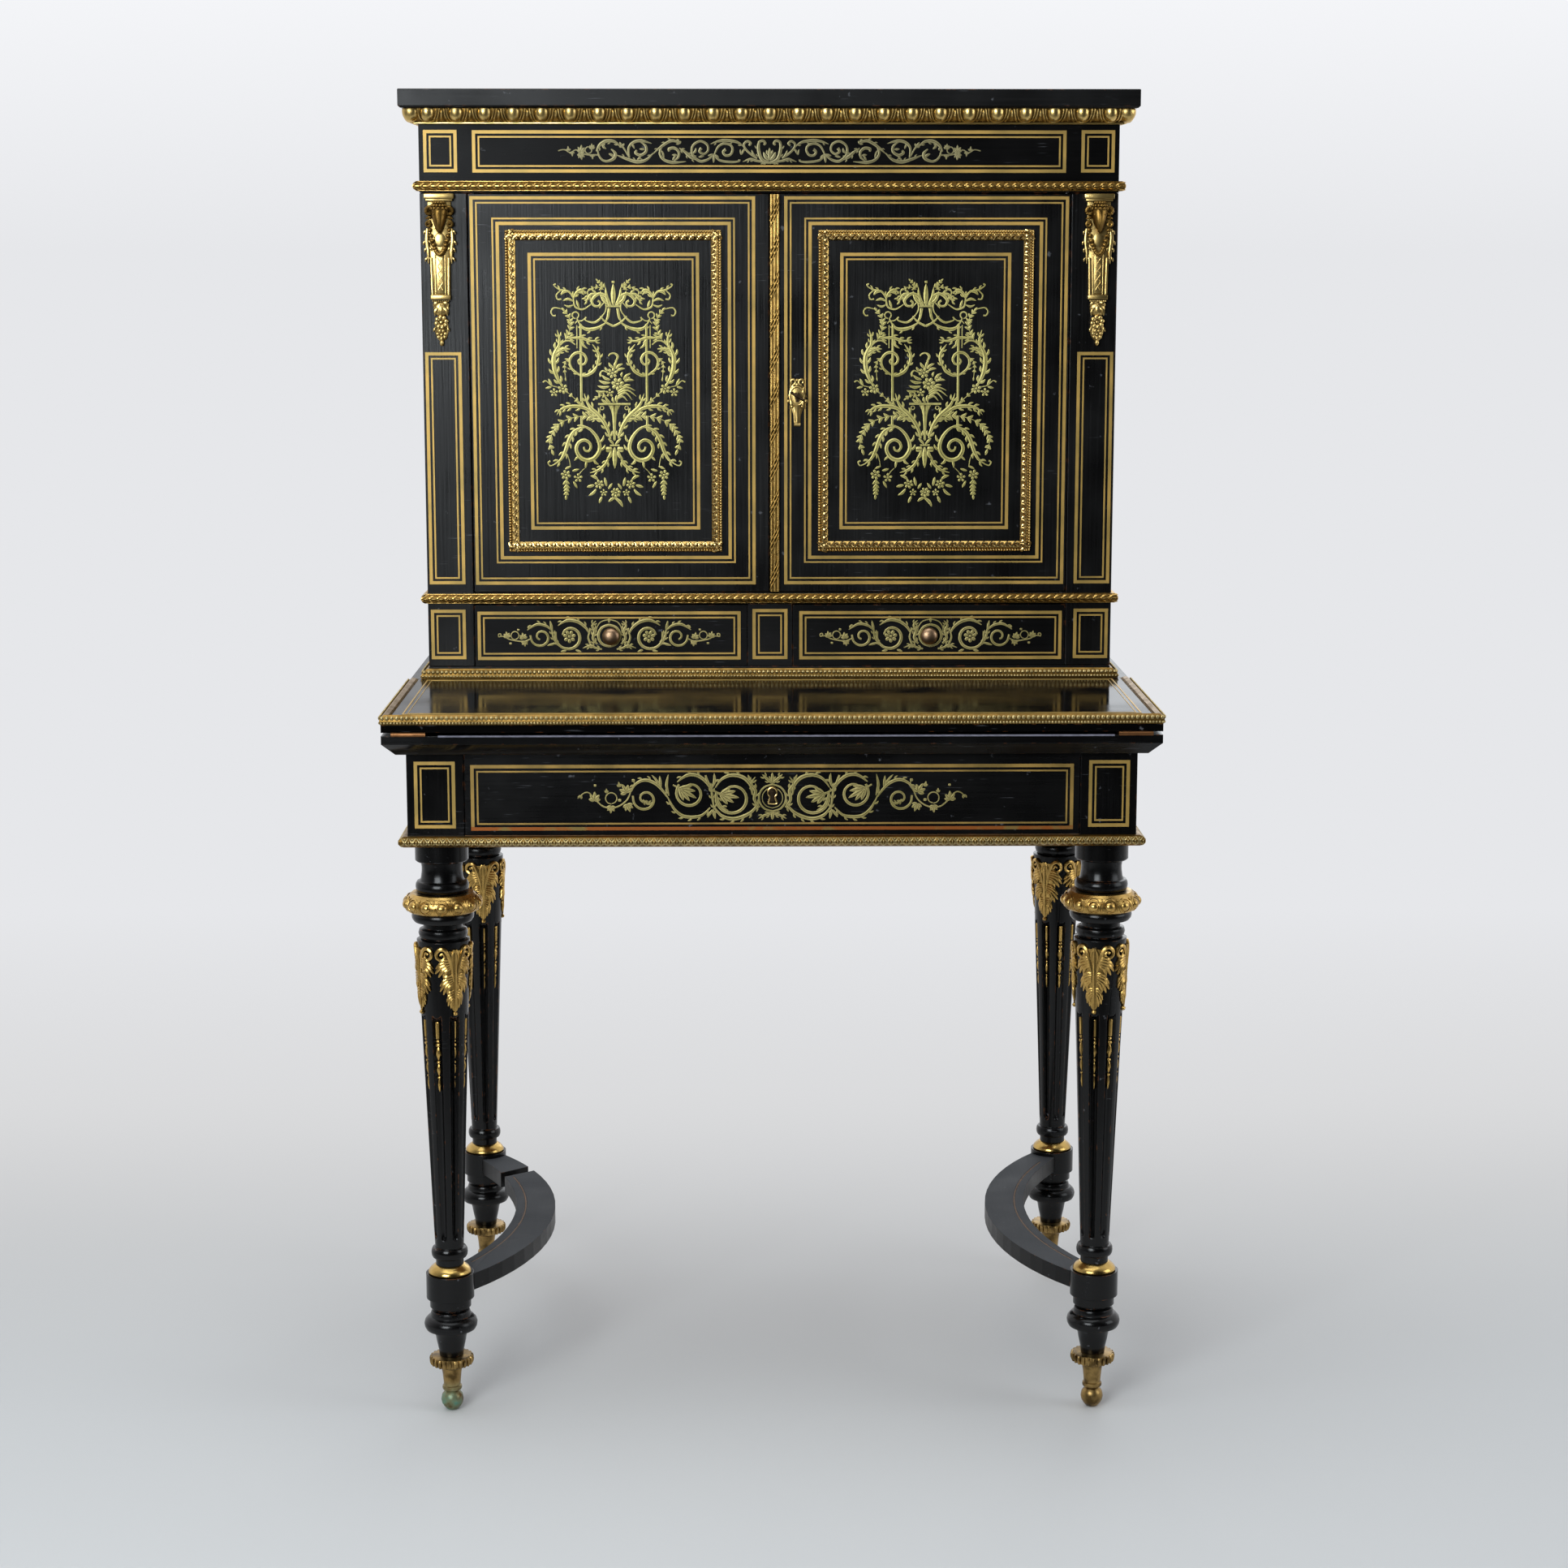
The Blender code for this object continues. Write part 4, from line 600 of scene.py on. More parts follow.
def sprig(points, length, width, pairs):
    """A thin stem with pairs of leaves along it and one at its end."""
    stem = line(points, (0.35, 0.5, 0.35), 5)
    strokes = [stem]
    for i in range(pairs):
        k = int((i + 0.4) / pairs * (len(stem) - 2))
        base = stem[k][0]
        way = (stem[k + 1][0] - base).normalized()
        side = Vector((-way.y, way.x))
        size = length * (1.0 - 0.35 * i / pairs)
        strokes.append(leaf(base, base + (way * 0.72 + side * 0.62) * size, width, -0.12))
        strokes.append(leaf(base, base + (way * 0.72 - side * 0.62) * size, width, 0.12))
    strokes.append(leaf(stem[-2][0],
                        stem[-1][0] + (stem[-1][0] - stem[-2][0]).normalized() * length * 0.6, width))
    return strokes


def acanthus(points, widths, lobe, count, sides=(1, -1)):
    """A long leaf with rounded lobes that lean forward along its sides."""
    spine = line(points, widths, 5)
    strokes = [spine]
    for i in range(count):
        k = int((i + 0.5) / count * (len(spine) - 2))
        base, reach = spine[k]
        way = (spine[k + 1][0] - base).normalized()
        side = Vector((-way.y, way.x))
        for hand in sides:
            tip = base + way * lobe * 1.05 + side * hand * (reach + 0.42 * lobe)
            strokes.append(leaf(base + side * hand * reach * 0.3, tip, 0.27 * lobe, 0.14 * hand))
    return strokes


def both_ways(strokes):
    """Strokes and their mirror images."""
    return strokes + [[(Vector((-spot.x, spot.y)), reach) for spot,
                       reach in stroke] for stroke in strokes]


def drawn(strokes, bulge, sides=2):
    """A mesh of strokes in the xz plane, whose fronts stand out by a share of their half width."""
    begin()
    bpy.ops.curve.primitive_bezier_curve_add()
    drawing = bpy.context.object
    drawing.data.splines.clear()
    drawing.data.dimensions = "3D"
    drawing.data.twist_mode = "Z_UP"
    drawing.data.bevel_depth = MM
    drawing.data.bevel_resolution = sides
    drawing.data.use_fill_caps = True
    for stroke in strokes:
        spline = drawing.data.splines.new("POLY")
        spline.points.add(len(stroke) - 1)
        for point, (spot, reach) in zip(spline.points, stroke):
            point.co = (spot[0] * MM, spot[1] * MM, 0.0, 1.0)
            point.radius = reach
    bpy.ops.object.convert(target="MESH")
    mesh_piece = closed(settle(bpy.context.object))
    return moved(mesh_piece, lambda x, y, z: (x, -z * bulge, y))


def inlay(name, strokes, x, z, face, body, finish):
    """Brass strokes let into a front, about a middle."""
    fine = [[(spot, STROKE_FINENESS * reach) for spot, reach in stroke] for stroke in strokes]
    piece = drawn(fine, INLAY_BULGE, 1)
    shifted(piece, x, face - INLAY_BULGE, z)
    return finish_piece(piece, name, finish, body, angle=60)


FACING = {"front": (90, 0, 0), "top": (0, 0, 0), "left": (90, 0, -90), "right": (90, 0, 90)}


def string(a0, a1, b0, b1, width, face, facing="front"):
    """One mitred line of brass stringing round a panel on a face."""
    wide, high = a1 - a0, b1 - b0
    middle_a, middle_b = (a0 + a1) / 2, (b0 + b1) / 2
    spot = {"front": (middle_a, face, middle_b), "top": (middle_a, middle_b, face),
            "left": (face, middle_a, middle_b), "right": (face, middle_a, middle_b)}[facing]
    begin()
    bpy.ops.mesh.primitive_plane_add(size=1.0)
    panel = bpy.context.object
    panel.scale = (wide * MM, high * MM, 1.0)
    settle(panel)
    edit(panel)
    bpy.ops.mesh.inset(thickness=width * MM)
    bpy.ops.mesh.delete(type="FACE")
    bpy.ops.object.mode_set(mode="OBJECT")
    panel.rotation_euler = [math.radians(value) for value in FACING[facing]]
    panel.location = [value * MM for value in spot]
    return settle(panel)


def string_pair(a0, a1, b0, b1, face, facing="front", thick_first=True):
    """A thick and a thin line side by side, the first one outermost."""
    first, second = (THICK_STRING, THIN_STRING) if thick_first else (THIN_STRING, THICK_STRING)
    step = first + STRING_GAP
    return [string(a0, a1, b0, b1, first, face, facing),
            string(a0 + step, a1 - step, b0 + step, b1 - step, second, face, facing)]


def strung(lines, name, body, finish=STRINGING):
    """Lines of stringing as one piece, with the thickness that stands out of the wood."""
    piece = joined(lines)
    take(piece)
    bpy.ops.object.modifier_add(type="SOLIDIFY")
    piece.modifiers[-1].thickness = 2 * INLAY_PROUD * MM
    piece.modifiers[-1].offset = 0.0
    bpy.ops.object.modifier_apply(modifier=piece.modifiers[-1].name)
    return finish_piece(piece, name, finish, body, angle=20)


def stringing():
    """The brass lines of every panel, each on the body that carries it."""
    for sign, side in ((-1, "left"), (1, "right")):
        doors = []
        for a, b, low, high, thick_first in ((15.2, 313.3, 836.5, 1243.2, True),
                                             (36.4, 290.7, 859.4, 1221.2, False),
                                             (74.0, 253.5, 895.2, 1185.1, True)):
            x0, x1 = sorted((sign * a, sign * b))
            doors += string_pair(x0, x1, low, high, CABINET_FACE, thick_first=thick_first)
        strung(doors, side + "_door_stringing", side + "_door")
        x0, x1 = sorted((sign * 31.4, sign * 312.5))
        strung(string_pair(x0, x1, 755.6, 807.6, CABINET_FACE), side + "_drawer_stringing",
               side + "_drawer")
    fixed = string_pair(-309.5, 309.5, 1267.3, 1310.5, CABINET_FACE)
    fixed += string_pair(-18.7, 18.7, 756.0, 810.0, CABINET_FACE)
    for sign in (-1, 1):
        for a, b, low, high in ((325.3, 360.2, 1267.6, 1310.8), (324.5, 362.5, 837.0, 1082.0),
                                (325.0, 362.0, 756.5, 809.8)):
            x0, x1 = sorted((sign * a, sign * b))
            fixed += string_pair(x0, x1, low, high, CABINET_FACE)
        x0, x1 = sorted((sign * 315.2, sign * 356.0))
        fixed += string_pair(x0, x1, 620.6, 688.0, APRON_FACE)
        facing = "left" if sign < 0 else "right"
        for a, b, low, high in ((60, 240, 837, 1235), (60, 240, 1268, 1310), (60, 240, 756.5, 809.8)):
            fixed += string_pair(a, b, low, high, sign * CABINET_HALF, facing)
        fixed += string_pair(-155, 210, 620.6, 688.0, sign * APRON_HALF, facing)
    strung(fixed, "fixed_stringing", "desk")
    strung(string_pair(-300, 300, 618.2, 684.5, APRON_FACE), "frieze_drawer_stringing", "frieze_drawer",
           FRIEZE_STRINGING)
    leaf_lines = [string(-366.0, 366.0, -243.0, 0.0, 1.6, LEAF_TOP, "top"),
                  string(-361.0, 361.0, -238.0, -5.0, 0.8, LEAF_TOP, "top")]
    strung(leaf_lines, "leaf_stringing", "writing_leaf")


def door_arabesque():
    """The marquetry of one door: lyre, garland, poles, scrolls, vase and bouquet."""
    half = [leaf((3, 91.5), (13.6, 106.5), 2.2, -0.15), leaf((2, 91.5), (8, 110), 2.0, -0.1)]
    half.append(line([(4.4, 91.5), (8, 100.8), (15.2, 103.4), (22.3, 97), (20.5, 91.4), (15.5, 90.8),
                      (13.6, 94.2), (16.4, 96.4)], (1.5, 2.0, 1.9, 1.6, 1.3, 1.2, 1.4)))
    half += acanthus([(15.2, 103.4), (23, 103), (27, 97.8), (30.5, 96.2)], (1.2, 1.7, 1.5, 0.2), 4.5, 3)
    half.append(line([(4.4, 88.4), (6, 79), (8.4, 74.6)], (1.8, 1.6, 0.7)))
    half.append(line([(14.7, 88.6), (9, 94.6), (7.6, 89), (9, 84), (13, 79.5)], (0.6, 0.8, 0.8, 0.5)))
    half.append(line([(23.4, 92.5), (31.6, 87.4), (38, 88.6), (40.8, 91.5), (41.8, 98.7)],
                     (0.5, 1.2, 1.2, 0.8)))
    half += acanthus([(41.8, 98.7), (39, 104), (34, 107.4), (30, 105.6)], (0.9, 1.8, 2.0, 0.8), 4.4, 3)
    half.append(dot(29.2, 104.6, 1.4))
    half += acanthus([(41.8, 98.7), (46.5, 105.6), (55, 107.5), (60.8, 110.7)], (0.8, 1.3, 1.2, 0.6), 3.6,
                     3, (1,))
    half.append(line([(60.8, 110.7), (62.2, 112.8), (60, 113.6)], (0.6, 0.8, 1.0)))
    half.append(leaf((47, 106), (55, 102.2), 2.1, 0.2))
    half.append(line([(55, 107), (59.6, 102.4), (58.4, 97.8), (54.6, 98)], (0.6, 0.9, 0.9, 1.1)))
    half += [leaf((41.8, 95.6), (53, 96.2), 1.7, 0.2), leaf((36, 89), (38.6, 97), 1.6),
             leaf((42, 92), (51.5, 92), 1.4, -0.2)]
    half += sprig([(8, 110), (12, 113), (16.2, 117)], 4.5, 1.1, 3)
    half += sprig([(10, 108), (17, 110.5), (24, 108.4)], 4.5, 1.1, 3)
    half.append(line([(21, 108.5), (26.4, 106.4), (26.2, 102.4), (22.8, 102.2)], (0.5, 0.7, 0.7, 0.9)))
    half.append(line([(0, 69.8), (8, 74), (14, 80.4)], (1.5, 1.3, 0.5)))
    half += acanthus([(8, 73.4), (14, 69.4), (21.3, 66.9), (28, 66.6), (32.6, 68.7), (34.6, 72)],
                     (0.8, 1.6, 2.3, 2.3, 1.6, 0.7), 3.8, 3, (-1,))
    half.append(line([(11, 81.2), (16, 75.8), (21.3, 73.6), (29.5, 76), (28.6, 79.4)],
                     (0.8, 1.5, 1.3, 0.7, 1.0)))
    half.append(spiral(39.8, 81.2, 3.4, 3.4, -90, 240, (0.7, 0.9, 0.7)))
    half.append(line([(29, 79), (33, 75.6), (38, 75), (40.4, 72.4)], (0.5, 0.8, 0.5)))
    half.append(line([(38.5, 78), (36, 73), (34.6, 71.8)], (0.7, 0.9, 0.8)))
    half.append(line([(34.6, 71.8), (34.6, 30), (34.6, -8.6)], (1.5, 1.5)))
    half.append(line([(34.6, -24), (34.6, -29), (34.6, -33.4)], (1.5, 1.5)))
    half.append(line([(38.5, 70.8), (38.5, 58), (38.5, 47)], (0.6, 0.6)))
    half += sprig([(51, 55.3), (46.5, 64), (44.9, 71.8), (47, 80), (51.5, 86)], 7.0, 1.5, 7)
    half.append(line([(53, 87.4), (62, 89), (65.4, 85), (63.6, 81), (60.6, 81)],
                     (0.5, 0.8, 0.9, 0.8, 1.1)))
    half += acanthus([(55, 7.7), (60, 17), (62.8, 26.3), (63.2, 36.7), (61, 44), (57.5, 50)],
                     (0.9, 2.4, 3.0, 3.0, 2.4, 1.3), 6.2, 5)
    half += acanthus([(57.5, 50), (57, 57), (59.4, 66)], (1.8, 1.6, 0.2), 4.2, 2)
    half += acanthus([(60, 42), (53, 46), (46, 46)], (2.0, 2.2, 0.3), 4.0, 2)
    half.append(line([(57, 49), (52, 53.8), (46, 54.6), (40.5, 50.6)], (0.6, 1.0, 1.0, 0.7)))
    half.append(line([(34.6, 18), (41.8, 22.2), (46.2, 30.5), (45.4, 37), (39.8, 42), (32.8, 41.4),
                      (29, 36), (30.8, 30.8), (35.4, 30), (37.6, 33.4), (35.2, 36.2)],
                     (0.5, 1.0, 1.5, 1.8, 1.8, 1.6, 1.3, 1.1, 1.0)))
    half += acanthus([(36, 18.2), (29, 18.6), (21.6, 23), (17, 30)], (0.4, 1.9, 2.1, 0.6), 4.2, 3, (-1,))
    half += acanthus([(18.6, 27), (15.8, 34), (16.2, 41.8), (22.3, 51)], (0.5, 2.1, 1.9, 0.3), 4.2, 3)
    half += acanthus([(36, 19.5), (43, 24), (48.4, 31)], (0.5, 1.6, 0.2), 3.6, 2, (-1,))
    half += acanthus([(48, 57.4), (34.6, 57.6), (24, 54.4), (14.1, 55.6)], (1.0, 2.1, 1.6, 0.2), 4.6, 4)
    half.append(leaf((33, 56), (27.5, 46.6), 1.6, 0.2))
    half += sprig([(47, 36.7), (51.4, 32), (52, 26.3), (51, 14.9)], 4.2, 1.0, 4)
    half += flower(54, 4.6, 5.4) + flower(63.3, 0.6, 4.4, 5)
    half.append(line([(58, 6), (66, 8), (71.4, 12.8), (75, 11.4)], (0.4, 0.6, 0.6, 1.0)))
    half += [leaf((65.6, 8), (69, 15), 1.6), leaf((66, 6.6), (72.4, 5), 1.5)]
    half.append(spiral(13, -15.6, 1.9, 1.9, 90, 440, (0.5, 0.6, 0.5)))
    half += acanthus([(4.4, -48), (6, -41), (9, -34), (13, -27.6), (18, -21.8), (24, -16.4), (28.4, -10),
                      (31.6, -0.3)], (1.2, 2.0, 2.5, 2.8, 2.8, 2.4, 1.6, 0.2), 5.4, 6)
    half += acanthus([(21.3, -22), (31, -15.6), (41.8, -13.8), (50, -14.6), (56.2, -17), (60.8, -23)],
                     (1.4, 2.4, 2.4, 2.0, 1.3, 0.2), 5.0, 5)
    half += acanthus([(11, -31), (16, -27.6), (21, -27), (27, -28.8)], (1.0, 1.6, 1.4, 0.2), 3.2, 2)
    half += sprig([(31, -13), (40, -7), (50, 1.6)], 5.0, 1.3, 3)
    half += sprig([(21.3, -25.2), (34.6, -24.1), (51, -28.3), (60, -34), (65, -41), (69, -50), (66, -61)],
                  8.0, 1.8, 11)
    half += acanthus([(7, -69.7), (11, -76), (17.2, -81), (26.4, -84)], (1.6, 2.0, 1.8, 0.3), 4.6, 3)
    half.append(line([(36.7, -33.4), (26.4, -37.6), (18.4, -47), (15.7, -58.3), (20.6, -67.4),
                      (28.5, -70.7), (36.4, -67.6), (40.6, -59.6), (38.4, -52.4), (32.4, -49.2),
                      (26.8, -52), (25.2, -57), (27.8, -61), (31.6, -60), (32.6, -56.4)],
                     (1.0, 2.0, 2.6, 2.8, 2.6, 2.2, 2.0, 1.7, 1.4, 1.1)))
    half += [leaf((17, -52), (11.4, -44), 1.6, 0.2), leaf((16, -60), (10, -54), 1.6, 0.2),
             leaf((22, -69), (17, -75), 1.8, 0.2), leaf((30, -71), (31, -79), 1.6),
             leaf((38, -66), (43, -71), 1.4)]
    half += acanthus([(31.6, -36), (38, -37.5), (43.9, -41.7), (48.5, -50), (52, -60.4), (57.2, -70),
                      (65.4, -75.6)], (0.7, 1.8, 2.4, 2.6, 2.4, 1.6, 0.4), 5.2, 6)
    half.append(line([(63, -74.6), (68.4, -76.4), (70.6, -73), (68, -71.4)], (0.6, 0.8, 0.8, 1.1)))
    half += [leaf((0.6, -54), (6.8, -47.5), 1.6), dot(6, -59.3, 3.4),
             leaf((3.6, -60), (8.6, -69.6), 2.4, -0.15)]
    half.append(line([(50, -64.5), (48, -71), (46.9, -78)], (0.4, 0.5)))
    half += flower(52, -86.2, 5.4) + flower(38.9, -89.3, 4.8, 5)
    half += [leaf((46.9, -77), (53, -80), 1.5), leaf((45, -82), (38, -80), 1.6),
             leaf((44, -93), (40, -100), 1.6)]
    half += sprig([(52, -91.6), (51.4, -100), (52, -109)], 6.0, 1.7, 4)
    half.append(line([(32, -79), (36, -83), (38, -86)], (0.4, 0.5)))
    half += flower(16.7, -96, 5.0) + flower(12, -105, 3.8, 5)
    half += [leaf((18, -91), (26, -87), 2.0, 0.1), leaf((22, -97), (30, -99), 2.0),
             leaf((9, -98), (11, -88.6), 1.9), leaf((14, -109), (17, -116), 1.8),
             leaf((20, -101), (28, -108), 1.9, -0.1), leaf((7, -101), (3, -95), 1.6)]
    middle = [leaf((0, 91.5), (0, 113.4), 3.2), dot(0, 115.6, 1.6),
              line([(-7, 90.4), (0, 90.4), (7, 90.4)], (1.0, 1.0))]
    middle.append(line([(-17, -11.5), (0, -11.5), (17, -11.5)], (1.3, 1.3)))
    middle.append(line([(0, -13), (0, -18), (0, -24), (0, -36), (0, -48.5)], (8.0, 4.4, 2.8, 1.9, 1.3)))
    middle += [line([(-5, -55), (0, -55), (5, -55)], (1.1, 1.1)), leaf((0, -50), (0, -46), 1.6),
               leaf((0, -57), (0, -79), 3.2)]
    middle += flower(0.8, -105, 5.4, 7)
    middle += [leaf((0, -110.6), (8, -120), 2.3, 0.1), leaf((0, -110.6), (-7, -114.6), 2.0, -0.1)]
    return both_ways(half) + middle + bouquet()


def bouquet():
    """Flowers, leaves and drooping blades that stand in the vase of a door."""
    strokes = flower(3.9, 9.4, 6.8, 7) + flower(-1.6, 21, 5.6, 6) + flower(-4.6, 0.2, 4.4, 5)
    strokes += flower(13.4, 15.4, 3.6, 5)
    for start, tip, width in (((0, 26), (-5.4, 32), 1.8), ((1, 26), (3.4, 34), 1.8),
                              ((2, 25), (9.4, 30.6), 1.8), ((3, 23), (11.6, 25.6), 1.7),
                              ((-6, 23), (-9.4, 27.4), 1.5), ((-4, 14), (-12.6, 18.6), 1.9),
                              ((-4, 11), (-16, 13.4), 1.9), ((-5, 7), (-17.4, 7.6), 1.9),
                              ((-9, 2), (-19.6, 2.6), 1.8), ((10, 14), (17.6, 20.6), 1.6),
                              ((11, 12), (21, 13.4), 1.7), ((9, 6), (17.4, 8.4), 1.6),
                              ((8, 17), (9, 22), 1.5)):
        strokes.append(leaf(start, tip, width, 0.12))
    for start, tip in (((-7, -10), (-13.6, -6)), ((-4, -10), (-9.6, -3.4)), ((0, -10), (-1.6, -4)),
                       ((3, -10), (2.6, -2))):
        strokes.append(leaf(start, tip, 1.7, 0.1))
    for points in ([(4, 1), (13, 6), (22.4, 2.6)], [(4, -1), (14, 3), (23.4, -3.6)],
                   [(4, -4), (12, 0.4), (19, -7.4)], [(3, -6), (9, -3.4), (14, -8.4)]):
        strokes.append(line(points, (1.3, 1.5, 0.9, 0.2)))
    strokes += sprig([(-8, -3), (-15, -2.4), (-20.4, -6)], 4.6, 1.2, 3)
    strokes.append(line([(-6, 21), (-11.6, 23.4), (-14.4, 20.6), (-13.6, 17.4)], (0.5, 0.8, 1.2, 1.7)))
    strokes.append(line([(1.4, 33), (3.6, 36), (3.8, 39), (0.6, 41.6), (-3.6, 41), (-5.8, 38.6)],
                        (0.6, 1.3, 1.7, 1.0, 0.9, 0.6)))
    return strokes


def frieze_drawer_rinceau():
    """Scrolling acanthus of the frieze drawer, to both sides of its keyhole."""
    half = [spiral(0, -2.3, 13.5, 13.5, -90, 90, (1.0, 1.2, 1.0)),
            spiral(0, -2.3, 10.2, 10.2, -90, 90, (0.5, 0.5))]
    half += acanthus([(0.5, 13), (6, 17.5), (10, 21.5)], (1.5, 1.8, 0.3), 3.8, 2)
    half += acanthus([(1, -18), (8, -20), (14, -23.4)], (1.3, 1.6, 0.3), 3.6, 2)
    half += acanthus([(13, -12), (18, -4), (17, 5), (21, 12), (17, 19)], (1.2, 1.8, 2.0, 1.6, 0.3), 4.2,
                     4)
    half += acanthus([(14, -8), (20, -15.6), (29, -21), (40, -23.4), (51, -20), (58.5, -11)],
                     (1.0, 1.8, 2.3, 2.3, 1.9, 0.8), 4.6, 6, (-1,))
    half += acanthus([(20, 2), (22, 11), (29, 18.4), (40, 20.8), (50, 17), (57, 8)],
                     (0.9, 2.0, 2.4, 2.2, 1.6, 0.5), 5.0, 5, (1,))
    half.append(spiral(39.4, -2.3, 17.5, 10.5, 20, -330, (1.5, 1.8, 1.9, 1.6, 1.2)))
    half.append(line([(60, 6), (54, 2.6), (48, 0.4)], (0.9, 1.3, 2.4)))
    half += fan(52, 1.4, 190, 19, 44, 2.8) + fan(47, 0.4, 190, 11, 75, 2.2)
    half += acanthus([(56, 2), (52, -10), (44, -15)], (0.8, 1.8, 0.3), 4.2, 2)
    half += acanthus([(58, -14), (60, 0), (60.5, 8)], (0.9, 1.5, 1.1), 3.6, 3)
    half += [leaf((60, 8), (58, 22.6), 1.9, 0.1), leaf((60.5, 8), (66, 21), 1.8, -0.1),
             leaf((59, -14), (57, -23.4), 1.9), leaf((59.6, -14), (65, -22), 1.7)]
    half += acanthus([(61, 6), (66.5, 14.6), (75, 20.6), (85, 20.6), (94.6, 14)],
                     (0.9, 1.9, 2.2, 2.0, 0.6), 4.6, 5, (1,))
    half.append(spiral(81.9, 2.3, 14.4, 8.4, 40, -310, (1.4, 1.7, 1.8, 1.5, 1.0)))
    half.append(line([(99, 11), (94, 8.4), (89, 5.6)], (0.8, 1.2, 2.2)))
    half += fan(93, 7.6, 210, 20, 40, 2.7) + fan(88, 5, 210, 11, 75, 2.2)
    half += acanthus([(62, -12), (70, -19.6), (80, -21.6), (90, -20), (98, -13), (104, -2)],
                     (0.7, 1.6, 2.0, 2.0, 1.6, 0.7), 4.4, 6, (-1,))
    half += acanthus([(104, -2), (111, 7.4), (118, 13.4), (127, 16), (136, 12), (140.6, 4)],
                     (0.8, 1.6, 2.0, 2.0, 1.5, 0.4), 4.2, 5, (1,))
    half.append(spiral(126.7, -3.1, 12.6, 3.4, 15, -420, (1.2, 1.6, 1.6, 1.4, 1.2, 1.3)))
    half += [leaf((103, 0), (103.4, 21.6), 1.8, -0.1), leaf((111, 8), (112, 20), 1.8),
             leaf((113, 9), (120, 21), 1.5, 0.1)]
    half += acanthus([(129, -4), (124, -8), (119, -6.4)], (0.8, 1.6, 0.3), 3.0, 2)
    half.append(line([(139.8, 8.5), (144.4, -3.6), (155, -11.2), (167.2, -11.2), (176.3, -3.6),
                      (182.4, 3.2), (188, 2.6), (192, -2)], (0.8, 0.9, 0.8, 0.6)))
    half.append(spiral(160.3, -2.4, 5.8, 5.4, -90, 265, (0.6, 0.7, 0.6)))
    half.append(spiral(191, -1.6, 2.4, 1.0, -20, 250, (0.6, 0.9)))
    half += fan(145, 3.4, 62, 9.6, 78, 2.3) + fan(177, -4.6, 92, 9.0, 78, 2.2)
    half += fan(160.4, -10.4, 275, 7.2, 72, 1.8)
    half += fan(144.4, -8.6, 250, 8.2, 74, 2.0) + fan(165, 3, 90, 4.4, 40, 1.1, 3)
    half += fan(152, 9, 80, 5.4, 40, 1.3, 3)
    half += [dot(138.3, 15.6, 1.6), dot(176.3, 10.6, 1.3), dot(152, -4.4, 1.6)]
    half.append(line([(139.6, 9), (137.4, 12.4), (138.3, 15.6)], (0.5, 0.5)))
    middle = [leaf((0, 12), (0, 23.4), 2.0), leaf((0, -17), (0, -24.4), 2.2),
              line([(-5, -17.4), (0, -17.4), (5, -17.4)], (0.9, 0.9))]
    return both_ways(half) + middle


def small_drawer_rinceau():
    """Scrolling acanthus of a small drawer, to both sides of its knob."""
    half = [spiral(0, 0, 11.6, 11.6, -90, 90, (1.5, 1.8, 1.5))]
    half.append(line([(13.4, 3), (13, 9), (8.6, 15), (0, 17.4)], (0.5, 0.7, 0.6)))
    half += acanthus([(13, -9), (17.4, -3), (15.6, 5), (18, 11), (14, 16)], (1.1, 1.7, 1.9, 1.5, 0.3),
                     3.8, 4)
    half += acanthus([(8, -14.6), (15, -13), (20, -10.6), (28.6, -13.4)], (1.0, 1.5, 1.6, 0.3), 3.4, 3)
    half += acanthus([(21, 2), (25.6, 9.4), (34.4, 15.4), (45, 16.4), (54.6, 11)],
                     (0.8, 1.8, 2.2, 2.0, 0.4), 4.4, 5, (1,))
    half.append(line([(20, -9), (22.4, -2), (21, 4)], (1.4, 1.2, 0.8)))
    half.append(spiral(42.5, -1.0, 15.6, 7.4, 20, -345, (1.3, 1.8, 2.0, 1.8, 1.3)))
    half += flower(42.5, -1.0, 6.8, 7)
    half += [leaf((46, -16), (52, -17), 1.5), leaf((36, -15.4), (30, -17.4), 1.5)]
    half += acanthus([(55, -10), (59.4, -2), (61, 6.6)], (1.0, 1.6, 1.1), 3.4, 3)
    half += [leaf((60.6, 6), (63, 16), 1.6), leaf((57, -8), (66.4, -10.6), 1.6)]
    half += acanthus([(61.4, 6), (67.6, 10.8), (77.5, 12.2), (87.5, 6.2)], (0.8, 1.7, 1.8, 0.4), 3.8, 4,
                     (1,))
    half.append(spiral(73, -1.3, 11.4, 2.8, 10, -430, (1.2, 1.6, 1.6, 1.3, 1.2)))
    half.append(line([(83.6, -3), (90, -5.8), (97.4, -5.6), (107, -3.6), (112, -0.6), (118.6, -1)],
                     (0.8, 0.8, 0.6)))
    half.append(spiral(100.6, 0.4, 4.4, 4.0, -90, 265, (0.5, 0.7, 0.5)))
    half.append(spiral(116.6, 0.8, 2.2, 0.8, -80, 240, (0.5, 0.8)))
    half += fan(90.6, -5.8, 265, 5.8, 74, 1.5) + fan(91.6, -3.0, 80, 6.6, 74, 1.7)
    half += fan(109, -1.4, 80, 6.2, 74, 1.6)
    half += [dot(x, z, 1.3) for x, z in ((97, 6.4), (105.6, -8.2), (86, 9))]
    return both_ways(half) + [leaf((0, 14), (0, 19), 1.5)]


